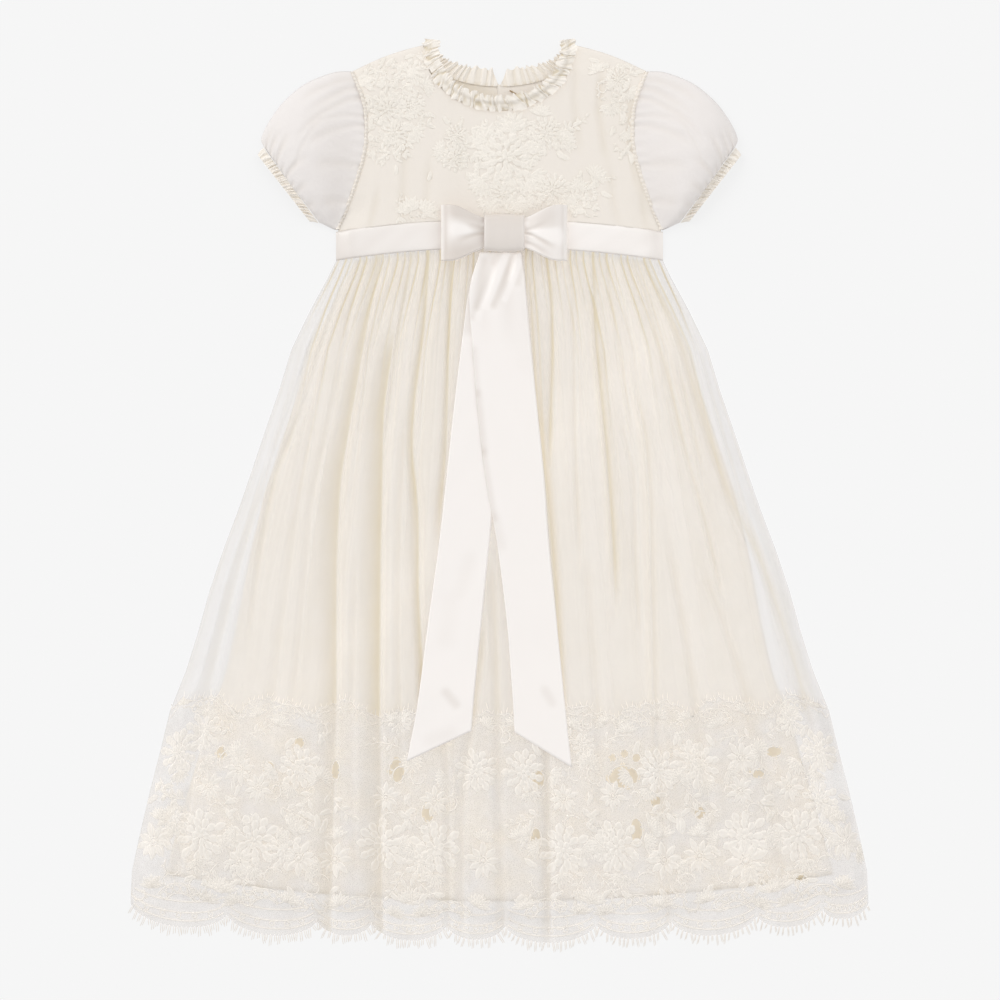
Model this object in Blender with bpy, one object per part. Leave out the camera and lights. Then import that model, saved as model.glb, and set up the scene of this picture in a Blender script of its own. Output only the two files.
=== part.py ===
"""A baby's short-sleeved lace gown, laid on its back on a flat surface.

X runs across the gown, Y runs up towards the neck and Z rises from the surface towards
the viewer. The origin is on the surface, under the middle of the gown's outline.
Sizes in the tables and constants are millimetres; add_node turns them into metres.
"""

import math
from collections import namedtuple

import bpy

MM = 0.001

# Cloth walls and the gaps between them
WALL = 1.2
FOLDED_WALL = 1.5
SATIN_WALL = 2.0
RIBBON_WALL = 1.0
GAP = 0.3

# Heights of the stacked layers above the surface
FRONT_AT_SEAM = WALL + GAP
LINING_BACK_Z = WALL + GAP
LINING_FRONT_Z = LINING_BACK_Z + WALL + GAP
FRONT_Z = LINING_FRONT_Z + WALL + GAP
SEAM_SLOPE = 12.0

# Waistband: its edges arch up in the middle
WAIST_HALF = 120.0
BAND_TOP_Y = 202.5
BAND_BOTTOM_Y = 182.0
BAND_ARCH = 9.2

# Bodice
NECK_Y = 328.0
NECK_HALF = 55.0
FRONT_NECK_DEPTH = 46.0
BACK_NECK_DEPTH = 26.0
SHOULDER_X, SHOULDER_Y = 108.0, 311.5
NECK_POINT_Y = 331.0
BACK_OPENING_HALF = 0.3
BODICE_SLOPE = 22.0
UNDERARM_Y = 203.0

# Neck ruffle
FRONT_RUFFLE_WAVES = 26
BACK_RUFFLE_WAVES = 11
RUFFLE_WAVE = 1.1
FRONT_RUFFLE_RISE = 4.5
FRONT_RUFFLE_REACH = math.radians(99.0)
BACK_RUFFLE_REACH = math.radians(80.0)
FRONT_RUFFLE_WIDTH = (5.5, 9.0)
BACK_RUFFLE_WIDTH = (9.0, 11.0)
BACK_RUFFLE_WAVE = 0.8
RUFFLE_INSET = 0.6
RUFFLE_CLEARANCE = 0.4
RUFFLE_BASE_AT_SHOULDER = 3.7

# Skirt
HEM_HALF = 271.0
HEM_Y = -315.0
HEM_ARCH = 16.0
COLUMN_PITCH = 9.4
FAN = 0.40
LACE_TOP_Y = -157.0
LACE_TOP_BUMPS = 9
LACE_TOP_BUMP = 11.0
LINING_HEM_Y = -298.0
LINING_HEM_ARCH = 24.0
SKIRT_ROWS = 6
LACE_ROWS_ON_LINING = 7
LACE_ROWS_BELOW = 2
SCALLOP_DEPTH = 13.5

# Rows of the skirt stand closer together near the waist
SKIRT_ROW_CROWDING = 1.35

# Windows in the lace: every few columns of some rows, two columns wide, staggered
WINDOW_ROWS = (1, 3, 5)
WINDOW_EVERY = 5
WINDOW_CORNER = 0.58
WINDOW_MIDDLE = 0.74

# Fringe along the scallops
STRAND_LENGTH = 6.2
STRAND_WIDTH = 0.9
FRONT_STRANDS = 2
BACK_STRANDS = 2
STRIP_WIDTH = 1.2
FRINGE_THICK = 0.8
FRINGE_LIFT = 0.15

# Sleeves
SLEEVE_WALL = 1.2
CUFF_RUCHE = 0.7
SLEEVE_RUCHE_AT_CUFF = 0.8
SLEEVE_RUCHE_AT_ARMHOLE = 0.5
SLEEVE_EDGE_HEIGHT = 3.6
SLEEVE_TOP_POINTS = 15
SLEEVE_UNDER_POINTS = 7
CUFF_TOP_POINTS = 19
CUFF_UNDER_POINTS = 9

# Bow
BOW_X, BOW_Y = 3.5, 192.3
KNOT_HALF_WIDTH = 14.7
LOOP_HALF_AT_KNOT, LOOP_HALF_OUTSIDE = 10.1, 20.3
LOOP_CREASE = 1.6
LOOP_UPPER_POINTS = 5
TAIL_COLUMNS = 6
TAIL_PLEAT = 1.3
TAIL_PLEAT_Y = (70.0, 160.0)
TAIL_CROSSING_Y = (-150.0, -60.0)

# Hook that closes the back of the neck
HOOK_RADIUS = 0.5
HOOK_ROUTE = ((7.5, 297.5), (9.8, 296.2), (11.8, 295.2), (12.8, 293.6), (12.2, 292.2))

Width = namedtuple("Width", "y half")
Inset = namedtuple("Inset", "y inset")
Groove = namedtuple("Groove", "waist hem depth waist_half hem_half start end")
Level = namedtuple("Level", "down crest gather")
Section = namedtuple("Section", "along top_x top_y low_x low_y bulge height")
Spray = namedtuple("Spray", "name x y radius petals turn stretch lean")
Ribbon = namedtuple("Ribbon", "inner_x inner_y outer_x outer_y")
Point = namedtuple("Point", "across z")

# Half width of the sheer skirt from the waist seam to the hem
SKIRT_WIDTHS = (
    Width(172.5, 120.0),
    Width(160.0, 126.0),
    Width(136.0, 139.0),
    Width(107.0, 153.0),
    Width(77.0, 162.0),
    Width(48.0, 172.0),
    Width(18.0, 182.0),
    Width(-11.0, 192.0),
    Width(-40.0, 203.0),
    Width(-70.0, 213.0),
    Width(-99.0, 221.0),
    Width(-128.0, 230.0),
    Width(-158.0, 242.0),
    Width(-187.0, 249.0),
    Width(-216.0, 256.5),
    Width(-246.0, 263.5),
    Width(-276.0, 270.0),
    Width(-300.0, 271.0),
    Width(-340.0, 271.0),
)

# How far the lining's side lies inside the sheer skirt's side
LINING_INSETS = (
    Inset(172.5, 14.0),
    Inset(0.0, 15.0),
    Inset(-77.0, 26.0),
    Inset(-136.0, 31.0),
    Inset(-200.0, 29.0),
    Inset(-300.0, 24.0),
)

# Half width of the bodice between its armholes
BODICE_WIDTHS = (
    Width(196.0, 118.5),
    Width(201.0, 116.5),
    Width(208.0, 113.0),
    Width(220.0, 108.0),
    Width(232.0, 104.0),
    Width(245.0, 100.0),
    Width(258.0, 97.5),
    Width(272.0, 97.0),
    Width(284.0, 98.0),
    Width(295.0, 101.0),
    Width(305.0, 105.0),
    Width(311.5, 108.0),
    Width(340.0, 108.0),
)

# Where the hem's scallops meet, across the hem
HEM_VALLEYS = (-271, -200, -134, -94, -39, 4, 71, 126, 189, 237, 271)

# Troughs between the skirt front's big folds: place as a share of the half width,
# depth as a share of the crest, half width of the trough, and the part of the length it runs
GROOVES = (
    Groove(-0.93, -0.80, 0.9, 5.0, 10.0, 0.00, 1.00),
    Groove(-0.80, -0.70, 0.5, 4.0, 8.0, 0.00, 0.50),
    Groove(-0.68, -0.48, 1.0, 4.0, 8.0, 0.30, 1.00),
    Groove(-0.60, -0.32, 1.0, 4.0, 7.0, 0.00, 1.00),
    Groove(-0.50, -0.40, 0.6, 4.0, 5.0, 0.00, 0.35),
    Groove(-0.43, -0.21, 0.9, 4.0, 9.0, 0.00, 0.85),
    Groove(-0.34, -0.30, 0.5, 4.0, 4.0, 0.00, 0.20),
    Groove(-0.22, -0.14, 1.0, 4.0, 8.0, 0.00, 1.00),
    Groove(-0.06, -0.05, 1.0, 5.0, 9.0, 0.35, 1.00),
    Groove(0.17, 0.05, 1.0, 4.0, 8.0, 0.00, 1.00),
    Groove(0.30, 0.13, 1.0, 5.0, 7.0, 0.00, 1.00),
    Groove(0.44, 0.25, 0.8, 4.0, 8.0, 0.00, 1.00),
    Groove(0.55, 0.36, 0.9, 4.0, 8.0, 0.00, 0.75),
    Groove(0.62, 0.50, 0.6, 4.0, 4.0, 0.00, 0.25),
    Groove(0.71, 0.46, 0.9, 4.0, 7.0, 0.00, 1.00),
    Groove(0.80, 0.66, 0.9, 5.0, 9.0, 0.00, 0.80),
    Groove(0.88, 0.82, 0.5, 5.0, 8.0, 0.30, 1.00),
    Groove(0.96, 0.92, 0.7, 5.0, 9.0, 0.00, 1.00),
)

# Height of the folds' crests, and of the small gathers on them, down the skirt's length
FOLD_LEVELS = (
    Level(0.00, 0.0, 0.3),
    Level(0.05, 1.7, 0.8),
    Level(0.16, 2.8, 0.8),
    Level(0.38, 3.4, 0.3),
    Level(0.65, 3.6, 0.0),
    Level(1.00, 2.8, 0.0),
)

# Sections of the left sleeve from the armhole to the cuff: its top and underarm points,
# how far it bows towards the bodice, and how high it puffs
SLEEVE_SECTIONS = (
    Section(0.00, -108.6, 311.5, -119.4, 194.6, 13.5, 6.6),
    Section(0.16, -122.0, 310.5, -121.6, 195.4, 8.0, 10.5),
    Section(0.34, -142.0, 302.5, -123.9, 196.4, 2.0, 16.0),
    Section(0.54, -158.5, 289.0, -126.3, 197.5, -2.0, 17.5),
    Section(0.74, -169.5, 274.0, -128.7, 198.7, -2.5, 15.5),
    Section(0.90, -174.8, 262.0, -130.6, 199.6, -1.5, 11.5),
    Section(1.00, -173.0, 255.8, -132.3, 200.3, 0.0, 8.4),
)

# Sections of the left cuff, from its seam to its free edge
CUFF_SECTIONS = (
    Section(0.00, -173.2, 255.4, -132.8, 200.0, 0.0, 8.4),
    Section(0.50, -175.6, 253.0, -136.0, 200.8, 0.0, 7.8),
    Section(1.00, -177.6, 250.0, -139.3, 201.0, 0.0, 8.6),
)

# Lace sprays sewn on the bodice front
SPRAYS = (
    Spray("centre", 2.6, 246.6, 21.5, 8, 0.2, 1.0, 0.0),
    Spray("centre_low", 5.0, 218.2, 7.4, 5, 0.9, 1.1, 1.3),
    Spray("centre_leaf", 5.5, 274.3, 4.4, 3, 0.5, 1.6, 0.2),
    Spray("left_upper", -31.0, 268.0, 9.0, 6, 0.1, 1.0, 0.0),
    Spray("left_lower", -34.0, 248.5, 8.0, 5, 0.6, 1.1, 1.2),
    Spray("right_upper", 45.0, 264.5, 10.5, 6, 0.5, 1.5, 1.3),
    Spray("right_side", 77.0, 246.0, 7.0, 4, 0.4, 1.3, 0.3),
    Spray("right_low", 47.0, 219.5, 14.0, 6, 0.3, 1.25, -0.7),
    Spray("left_low", -65.0, 212.5, 8.0, 4, 0.6, 1.8, 0.4),
    Spray("left_shoulder", -86.0, 303.5, 11.0, 6, 0.4, 1.15, 1.2),
    Spray("left_chest", -73.0, 272.5, 15.5, 7, 0.4, 1.1, 1.0),
    Spray("right_shoulder", 86.0, 301.0, 9.0, 5, 0.0, 1.2, 1.9),
    Spray("right_chest", 83.0, 274.5, 9.5, 5, 0.2, 1.5, 1.5),
)
SPRAY_THICK = 0.9
SPRAY_LIFT = 0.45
SPRAY_POINTS_PER_PETAL = 4

# A bow loop from the knot round its fold and back, and the knot from its upper to its lower edge
LOOP_PATH = (
    Point(5.0, 12.2),
    Point(14.0, 13.6),
    Point(25.0, 17.6),
    Point(36.0, 18.8),
    Point(43.5, 16.2),
    Point(46.2, 12.0),
    Point(44.0, 8.8),
    Point(34.0, 7.9),
    Point(20.0, 7.9),
    Point(5.0, 7.9),
)
KNOT_PATH = (
    Point(13.4, 7.4),
    Point(13.4, 12.5),
    Point(11.8, 16.6),
    Point(7.2, 18.4),
    Point(0.0, 18.9),
    Point(-7.2, 18.4),
    Point(-11.8, 16.6),
    Point(-13.4, 12.5),
    Point(-13.4, 7.4),
)

# The two tails from the knot to their slanted ends
LEFT_TAIL = (
    Ribbon(14.0, 178.2, -14.0, 178.2),
    Ribbon(12.0, 150.0, -22.5, 150.0),
    Ribbon(7.0, 110.0, -28.0, 110.0),
    Ribbon(1.5, 60.0, -34.0, 60.0),
    Ribbon(-3.5, 10.0, -39.5, 8.0),
    Ribbon(-7.0, -30.0, -44.5, -36.0),
    Ribbon(-13.0, -90.0, -53.0, -98.0),
    Ribbon(-18.0, -140.0, -60.0, -152.0),
    Ribbon(-20.6, -172.4, -68.0, -194.8),
)
RIGHT_TAIL = (
    Ribbon(-9.0, 178.2, 16.5, 178.2),
    Ribbon(-19.0, 150.0, 19.5, 150.0),
    Ribbon(-22.0, 110.0, 23.0, 110.0),
    Ribbon(-18.0, 60.0, 28.0, 60.0),
    Ribbon(-11.0, 10.0, 33.0, 10.0),
    Ribbon(-2.2, -33.0, 36.0, -33.0),
    Ribbon(5.0, -90.0, 41.5, -88.0),
    Ribbon(9.0, -140.0, 47.5, -148.0),
    Ribbon(11.0, -173.4, 53.0, -199.3),
)

# Small mathematics

def smooth(low, high, value):
    """0 below low, 1 above high, and a smooth step between them."""
    share = min(1.0, max(0.0, (value - low) / (high - low)))
    return share * share * (3.0 - 2.0 * share)


def read(table, at, value):
    """The column named by value, at a place in the table's first column."""
    rows = sorted(table, key=lambda row: row[0])
    if at <= rows[0][0]:
        return getattr(rows[0], value)
    for before, after in zip(rows, rows[1:]):
        if at <= after[0]:
            share = (at - before[0]) / (after[0] - before[0])
            low, high = getattr(before, value), getattr(after, value)
            return low + (high - low) * share
    return getattr(rows[-1], value)


def mix(low, high, share):
    return low + (high - low) * share


# Meshes

def add_node(name, points, faces, material):
    """One named object from points in millimetres."""
    mesh = bpy.data.meshes.new(name)
    mesh.from_pydata([tuple(value * MM for value in point) for point in points], [], faces)
    mesh.validate()
    mesh.shade_smooth()
    mesh.set_sharp_from_angle(angle=math.radians(40))
    mesh.materials.append(material)
    node = bpy.data.objects.new(name, mesh)
    bpy.context.scene.collection.objects.link(node)
    return node


def wall(name, outer, inner, material, windows=()):
    """A cloth wall between two grids of points, rows by columns, with its outer side facing
    up when the rows run down and the columns run to the right. Each window names the first
    of the two cells that it is cut through."""
    rows, columns = len(outer), len(outer[0])
    points = [p for row in outer for p in row] + [p for row in inner for p in row]
    faces = []
    half = rows * columns

    def index(row, column, side):
        return side * half + row * columns + column

    for row in range(rows - 1):
        for column in range(columns - 1):
            if (row, column) in windows:
                loop = [(row, column), (row + 1, column), (row + 1, column + 1),
                        (row + 1, column + 2), (row, column + 2), (row, column + 1)]
                cut_window(points, faces, [index(*c, 0) for c in loop], [index(*c, 1) for c in loop])
            if (row, column) in windows or (row, column - 1) in windows:
                continue
            cell = [(row, column), (row + 1, column), (row + 1, column + 1), (row, column + 1)]
            faces.append([index(*c, 0) for c in cell])
            faces.append([index(*c, 1) for c in reversed(cell)])
    for column in range(columns - 1):
        faces.append([index(0, column, 0), index(0, column + 1, 0),
                      index(0, column + 1, 1), index(0, column, 1)])
        faces.append([index(rows - 1, column + 1, 0), index(rows - 1, column, 0),
                      index(rows - 1, column, 1), index(rows - 1, column + 1, 1)])
    for row in range(rows - 1):
        faces.append([index(row + 1, 0, 0), index(row, 0, 0), index(row, 0, 1), index(row + 1, 0, 1)])
        faces.append([index(row, columns - 1, 0), index(row + 1, columns - 1, 0),
                      index(row + 1, columns - 1, 1), index(row, columns - 1, 1)])
    return add_node(name, points, faces, material)


def cut_window(points, faces, outer_loop, inner_loop):
    """A six-sided hole through two neighbouring cells of a wall, with a rim left round it."""
    rims = []
    for loop in (outer_loop, inner_loop):
        corners = [points[i] for i in loop]
        centre = [sum(values) / len(corners) for values in zip(*corners)]
        rim = []
        for here, corner in enumerate(corners):
            share = WINDOW_MIDDLE if here in (2, 5) else WINDOW_CORNER
            rim.append(len(points))
            points.append(tuple(mix(a, b, share) for a, b in zip(centre, corner)))
        rims.append(rim)
    upper, lower = rims
    for here in range(6):
        there = (here + 1) % 6
        faces.append([outer_loop[here], outer_loop[there], upper[there], upper[here]])
        faces.append([inner_loop[there], inner_loop[here], lower[here], lower[there]])
        faces.append([upper[here], upper[there], lower[there], lower[here]])


def slab(name, outline, low, high, material):
    """A flat wall of one outline, listed anticlockwise as seen from above."""
    count = len(outline)
    points = [(x, y, low) for x, y in outline] + [(x, y, high) for x, y in outline]
    faces = [list(range(count - 1, -1, -1)), list(range(count, 2 * count))]
    for here in range(count):
        there = (here + 1) % count
        faces.append([here, there, count + there, count + here])
    return add_node(name, points, faces, material)


def tube(name, outer, inner, material):
    """A cloth tube between an outer and an inner ring at each section."""
    sections, count = len(outer), len(outer[0])
    points = [p for ring in outer for p in ring] + [p for ring in inner for p in ring]
    half = sections * count
    faces = []
    for section in range(sections - 1):
        for here in range(count):
            there = (here + 1) % count
            a, b = section * count + here, section * count + there
            c, d = b + count, a + count
            faces.append([a, b, c, d])
            faces.append([half + d, half + c, half + b, half + a])
    last = (sections - 1) * count
    for here in range(count):
        there = (here + 1) % count
        faces.append([there, here, half + here, half + there])
        faces.append([last + here, last + there, half + last + there, half + last + here])
    return add_node(name, points, faces, material)


def cloth(name, colour, roughness, sheen):
    material = bpy.data.materials.new(name)
    material.use_nodes = True
    shader = material.node_tree.nodes["Principled BSDF"]
    shader.inputs["Base Color"].default_value = (*colour, 1.0)
    shader.inputs["Roughness"].default_value = roughness
    shader.inputs["Metallic"].default_value = 0.0
    shader.inputs["Sheen Weight"].default_value = sheen
    material.diffuse_color = (*colour, 1.0)
    return material


def metal(name, colour):
    material = cloth(name, colour, 0.35, 0.0)
    material.node_tree.nodes["Principled BSDF"].inputs["Metallic"].default_value = 1.0
    return material


# Shared shapes

def band_edge(y_middle, x):
    """Height up the gown of a waistband edge at x."""
    return y_middle - BAND_ARCH * (x / WAIST_HALF) ** 2


def skirt_half(y):
    return read(SKIRT_WIDTHS, y, "half")


def hem_line(share):
    """Where the scallops meet, at a share of the half width from the middle."""
    return HEM_Y + HEM_ARCH * share * share


def hem_columns():
    """Places across the hem, as shares of its half width, with one at each scallop's ends."""
    columns = [HEM_VALLEYS[0]]
    for left, right in zip(HEM_VALLEYS, HEM_VALLEYS[1:]):
        pieces = max(3, round((right - left) / COLUMN_PITCH))
        columns += [mix(left, right, (i + 1) / pieces) for i in range(pieces)]
    return [x / HEM_HALF for x in columns]


def scallop(share):
    """How far the lace hangs below the line where its scallops meet."""
    x = share * HEM_HALF
    for left, right in zip(HEM_VALLEYS, HEM_VALLEYS[1:]):
        if x <= right:
            across = 2.0 * (x - left) / (right - left) - 1.0
            width_share = min(1.0, (right - left) / 66.0)
            return SCALLOP_DEPTH * width_share ** 0.5 * max(0.0, 1.0 - across * across) ** 0.6
    return 0.0


def skirt_point(share, down):
    """Plan position of a point of the skirt: share across the hem, down from waist to hem."""
    fanned = share + FAN * max(0.0, 1.0 - down) ** 1.5 * share * (1.0 - share * share)
    y = mix(band_edge(BAND_BOTTOM_Y - GAP, fanned * WAIST_HALF), hem_line(share), down)
    return fanned * skirt_half(y), y


def down_at(share, y):
    """The share of the skirt's length at which this column reaches y."""
    low, high = 0.0, 1.2
    for _ in range(30):
        middle = (low + high) / 2.0
        if skirt_point(share, middle)[1] > y:
            low = middle
        else:
            high = middle
    return low


def lace_top(share):
    """Height up the gown of the lace border's upper edge, which has low scallops."""
    wave = abs(math.sin(math.pi * LACE_TOP_BUMPS * (share + 1.0) / 2.0)) ** 0.7
    return LACE_TOP_Y + 5.0 * share * share + LACE_TOP_BUMP * wave


def lining_hem(x):
    return LINING_HEM_Y + LINING_HEM_ARCH * (x / HEM_HALF) ** 2


def groove_depth(x, y, down):
    """How much of the crest the troughs take away at a point, from 0 to 1."""
    half = skirt_half(y)
    taken = 0.0
    for groove in GROOVES:
        if not groove.start - 0.08 <= down <= groove.end + 0.08:
            continue
        centre = mix(groove.waist, groove.hem, down) * half
        reach = mix(groove.waist_half, groove.hem_half, down)
        away = abs(x - centre) / reach
        if away >= 1.0:
            continue
        fade = 1.0
        if groove.start > 0.0:
            fade *= smooth(groove.start - 0.08, groove.start + 0.04, down)
        if groove.end < 1.0:
            fade *= 1.0 - smooth(groove.end - 0.06, groove.end + 0.08, down)
        taken = max(taken, groove.depth * fade * (0.5 + 0.5 * math.cos(math.pi * away)))
    return taken


def front_base(x, y):
    """Inner side of the skirt front, which drops to the back skirt past the lining's edges."""
    beside = smooth(0.0, SEAM_SLOPE, skirt_half(y) - abs(x))
    below = smooth(lining_hem(x) - 17.0, lining_hem(x) - 4.0, y)
    return mix(FRONT_AT_SEAM, FRONT_Z, beside * below)


def front_height(x, y, down, column):
    """Outer side of the skirt front at a point; the small gathers alternate by column."""
    crest = read(FOLD_LEVELS, down, "crest")
    gather = read(FOLD_LEVELS, down, "gather")
    uneven = 0.65 + 0.35 * math.sin(2.4 * column)
    edge = smooth(0.0, SEAM_SLOPE, skirt_half(y) - abs(x))
    ripple = gather * uneven * (1.0 if column % 2 else 0.0)
    return front_base(x, y) + FOLDED_WALL + edge * (crest * (1.0 - groove_depth(x, y, down)) + ripple)


def crest_height(y):
    """Top of the highest folds of the skirt front at this distance up the gown."""
    down = min(1.0, max(0.0, down_at(0.0, y)))
    return FRONT_Z + FOLDED_WALL + read(FOLD_LEVELS, down, "crest") + read(FOLD_LEVELS, down, "gather")


def shoulder_line(x):
    """Height up the gown of the shoulder seam."""
    share = (abs(x) - NECK_HALF) / (SHOULDER_X - NECK_HALF)
    straight = mix(NECK_POINT_Y, SHOULDER_Y, share)
    return straight + 2.2 * math.sin(math.pi * min(1.0, max(0.0, share)))


def neckline(x, depth):
    return NECK_Y - depth * math.sqrt(max(0.0, 1.0 - (x / NECK_HALF) ** 2))


def bodice_half(y):
    return read(BODICE_WIDTHS, y, "half")


def bodice_height(x, y):
    """Outer side of the bodice front, which drops to the back at the shoulders and under
    the arms. It stays open to the sleeve along the armhole."""
    side = smooth(0.0, BODICE_SLOPE, bodice_half(y) - abs(x))
    side = mix(side, 1.0, smooth(UNDERARM_Y, UNDERARM_Y + BODICE_SLOPE, y))
    shoulder = smooth(0.0, BODICE_SLOPE, shoulder_line(x) - y)
    return mix(FRONT_AT_SEAM, FRONT_Z, side * shoulder) + FOLDED_WALL


# Skirt and its lining

def make_skirt_front(material):
    columns = hem_columns()
    outer, inner = [], []
    for row in range(SKIRT_ROWS + 1):
        outer.append([])
        inner.append([])
        for column, share in enumerate(columns):
            end = down_at(share, lace_top(share) + GAP)
            down = end * (row / SKIRT_ROWS) ** SKIRT_ROW_CROWDING
            x, y = skirt_point(share, down)
            z = front_height(x, y, down, column)
            outer[-1].append((x, y, z))
            inner[-1].append((x, y, z - FOLDED_WALL))
    wall("skirt_front", outer, inner, material)


def make_lace_border_front(material):
    """The border from its scalloped upper edge, over the lining's hem, to its lower scallops."""
    columns = hem_columns()
    rows = LACE_ROWS_ON_LINING + LACE_ROWS_BELOW
    outer, inner = [], []
    for row in range(rows + 1):
        outer.append([])
        inner.append([])
        for column, share in enumerate(columns):
            turn = lining_hem(share * HEM_HALF) - 4.0
            if row <= LACE_ROWS_ON_LINING:
                y_wanted = mix(lace_top(share), turn, row / LACE_ROWS_ON_LINING)
            else:
                low = hem_line(share) - scallop(share)
                y_wanted = mix(turn, low, (row - LACE_ROWS_ON_LINING) / LACE_ROWS_BELOW)
            down = down_at(share, y_wanted)
            x, y = skirt_point(share, down)
            z = front_height(x, y, min(1.0, down), column)
            outer[-1].append((x, y_wanted, z))
            inner[-1].append((x, y_wanted, z - FOLDED_WALL))
    windows = {
        (row, column)
        for place, row in enumerate(WINDOW_ROWS)
        for column in range(1 + 2 * place, len(columns) - 3, WINDOW_EVERY)
    }
    wall("lace_border_front", outer, inner, material, windows)
    make_fringe("hem_fringe_front", outer[-1], FRONT_STRANDS, material)


def make_lace_border_back(material):
    """The border of the back lies flat on the surface."""
    columns = hem_columns()[::2]
    if columns[-1] < 1.0:
        columns.append(1.0)
    upper, lower = [], []
    for share in columns:
        y_top, y_low = lace_top(share), hem_line(share) - scallop(share)
        upper.append((skirt_point(share, down_at(share, y_top))[0], y_top))
        lower.append((skirt_point(share, down_at(share, y_low))[0], y_low))
    slab("lace_border_back", lower + upper[::-1], 0.0, WALL, material)
    edge = [(x, y, FRINGE_LIFT + FRINGE_THICK) for x, y in lower]
    make_fringe("hem_fringe_back", edge, BACK_STRANDS, material)


def offset_outwards(edge, distance):
    """An edge that runs to the right, moved down its own normals in plan."""
    moved = []
    for here, point in enumerate(edge):
        before, after = edge[max(0, here - 1)], edge[min(len(edge) - 1, here + 1)]
        along_x, along_y = after[0] - before[0], after[1] - before[1]
        length = math.hypot(along_x, along_y)
        moved.append((point[0] + distance * along_y / length,
                      point[1] - distance * along_x / length, point[2]))
    return moved


def make_fringe(name, edge, strands, material):
    """A narrow strip parted from the scalloped edge, with a few strands on each stretch."""
    inside = offset_outwards(edge, GAP * 1.4)
    outside = offset_outwards(edge, GAP * 1.4 + STRIP_WIDTH)
    points, faces = [], []

    def corner(x, y, top):
        points.append((x, y, top))
        points.append((x, y, top - FRINGE_THICK))
        return len(points) - 2

    in_a, out_a = corner(*inside[0]), corner(*outside[0])
    faces.append([in_a, in_a + 1, out_a + 1, out_a])
    for a, b, inner_b in zip(outside, outside[1:], inside[1:]):
        length = math.hypot(b[0] - a[0], b[1] - a[1])
        side_x, side_y = (b[0] - a[0]) / length, (b[1] - a[1]) / length
        tip_x = STRAND_LENGTH * side_y * 0.5
        tip_y = -STRAND_LENGTH * (0.5 + 0.5 * side_x)
        chain = [out_a]
        for strand in range(strands):
            x, y, z = (mix(a[i], b[i], (strand + 0.5) / strands) for i in range(3))
            half_x, half_y = STRAND_WIDTH / 2.0 * side_x, STRAND_WIDTH / 2.0 * side_y
            root_a = corner(x - half_x, y - half_y, z)
            tip = corner(x + tip_x, y + tip_y, z)
            root_b = corner(x + half_x, y + half_y, z)
            faces.append([root_a, tip, root_b])
            faces.append([i + 1 for i in (root_b, tip, root_a)])
            chain += [root_a, root_b]
            for first, second in ((root_a, tip), (tip, root_b)):
                faces.append([first, first + 1, second + 1, second])
        in_b, out_b = corner(*inner_b), corner(*b)
        chain.append(out_b)
        faces.append([in_a] + chain + [in_b])
        faces.append([i + 1 for i in reversed([in_a] + chain + [in_b])])
        for first, second in zip(chain[::2], chain[1::2]):
            faces.append([first, first + 1, second + 1, second])
        faces.append([in_b, in_b + 1, in_a + 1, in_a])
        in_a, out_a = in_b, out_b
    faces.append([out_a, out_a + 1, in_a + 1, in_a])
    add_node(name, points, faces, material)


def make_skirt_back(material):
    """The sheer back lies flat on the surface and ends at the lace."""
    columns = hem_columns()[::2] + [1.0]
    columns = sorted(set(columns))
    upper = [skirt_point(share, 0.0) for share in columns]
    right = [(skirt_half(row.y), row.y) for row in SKIRT_WIDTHS[1:] if row.y > lace_top(1.0) + 2.0]
    lower = []
    for share in reversed(columns):
        x, y = skirt_point(share, down_at(share, lace_top(share) + GAP))
        lower.append((x, y))
    left = [(-x, y) for x, y in reversed(right)]
    outline = upper + right + lower + left
    slab("skirt_back", list(reversed(outline)), 0.0, WALL, material)


def make_linings(material):
    def side(y):
        return skirt_half(y) - read(LINING_INSETS, y, "inset")

    steps = 9
    top_half = side(BAND_BOTTOM_Y) - 1.0
    top = [(x, band_edge(BAND_BOTTOM_Y - GAP, x) - GAP)
           for x in (top_half * (2.0 * i / steps - 1.0) for i in range(steps + 1))]
    corner = lining_hem(side(LINING_HEM_Y)) + 2.0
    right = [(side(row.y), row.y) for row in SKIRT_WIDTHS[1:] if row.y > corner + 4.0]
    reach = side(corner)
    hem = [(x, lining_hem(x)) for x in (reach * (1.0 - i / steps) for i in range(2 * steps + 1))]
    left = [(-x, y) for x, y in reversed(right)]
    outline = list(reversed(top + right + hem + left))
    slab("lining_back", outline, LINING_BACK_Z, LINING_BACK_Z + WALL, material)
    slab("lining_front", outline, LINING_FRONT_Z, LINING_FRONT_Z + WALL, material)


# Bodice

def make_bodice_front(material):
    neck_steps, shoulder_steps, rows = 14, 4, 8
    tops = []
    for i in range(shoulder_steps):
        x = -mix(SHOULDER_X, NECK_HALF, i / shoulder_steps)
        tops.append((x, shoulder_line(x)))
    for i in range(neck_steps + 1):
        x = NECK_HALF * math.sin(math.pi * (i / neck_steps - 0.5))
        edge = i in (0, neck_steps)
        tops.append((x, shoulder_line(x) if edge else neckline(x, FRONT_NECK_DEPTH)))
    for i in range(shoulder_steps):
        x = mix(NECK_HALF, SHOULDER_X, (i + 1) / shoulder_steps)
        tops.append((x, shoulder_line(x)))
    outer, inner = [], []
    count = len(tops) - 1
    for row in range(rows + 1):
        outer.append([])
        inner.append([])
        for column, (top_x, top_y) in enumerate(tops):
            across = 2.0 * column / count - 1.0
            low_y = band_edge(BAND_TOP_Y, across * WAIST_HALF)
            y = mix(top_y, low_y, row / rows)
            share = mix(top_x / bodice_half(top_y), across, row / rows)
            x = share * bodice_half(y)
            z = bodice_height(x, y)
            outer[-1].append((x, y, z))
            inner[-1].append((x, y, z - FOLDED_WALL))
    return wall("bodice_front", outer, inner, material)


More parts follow.
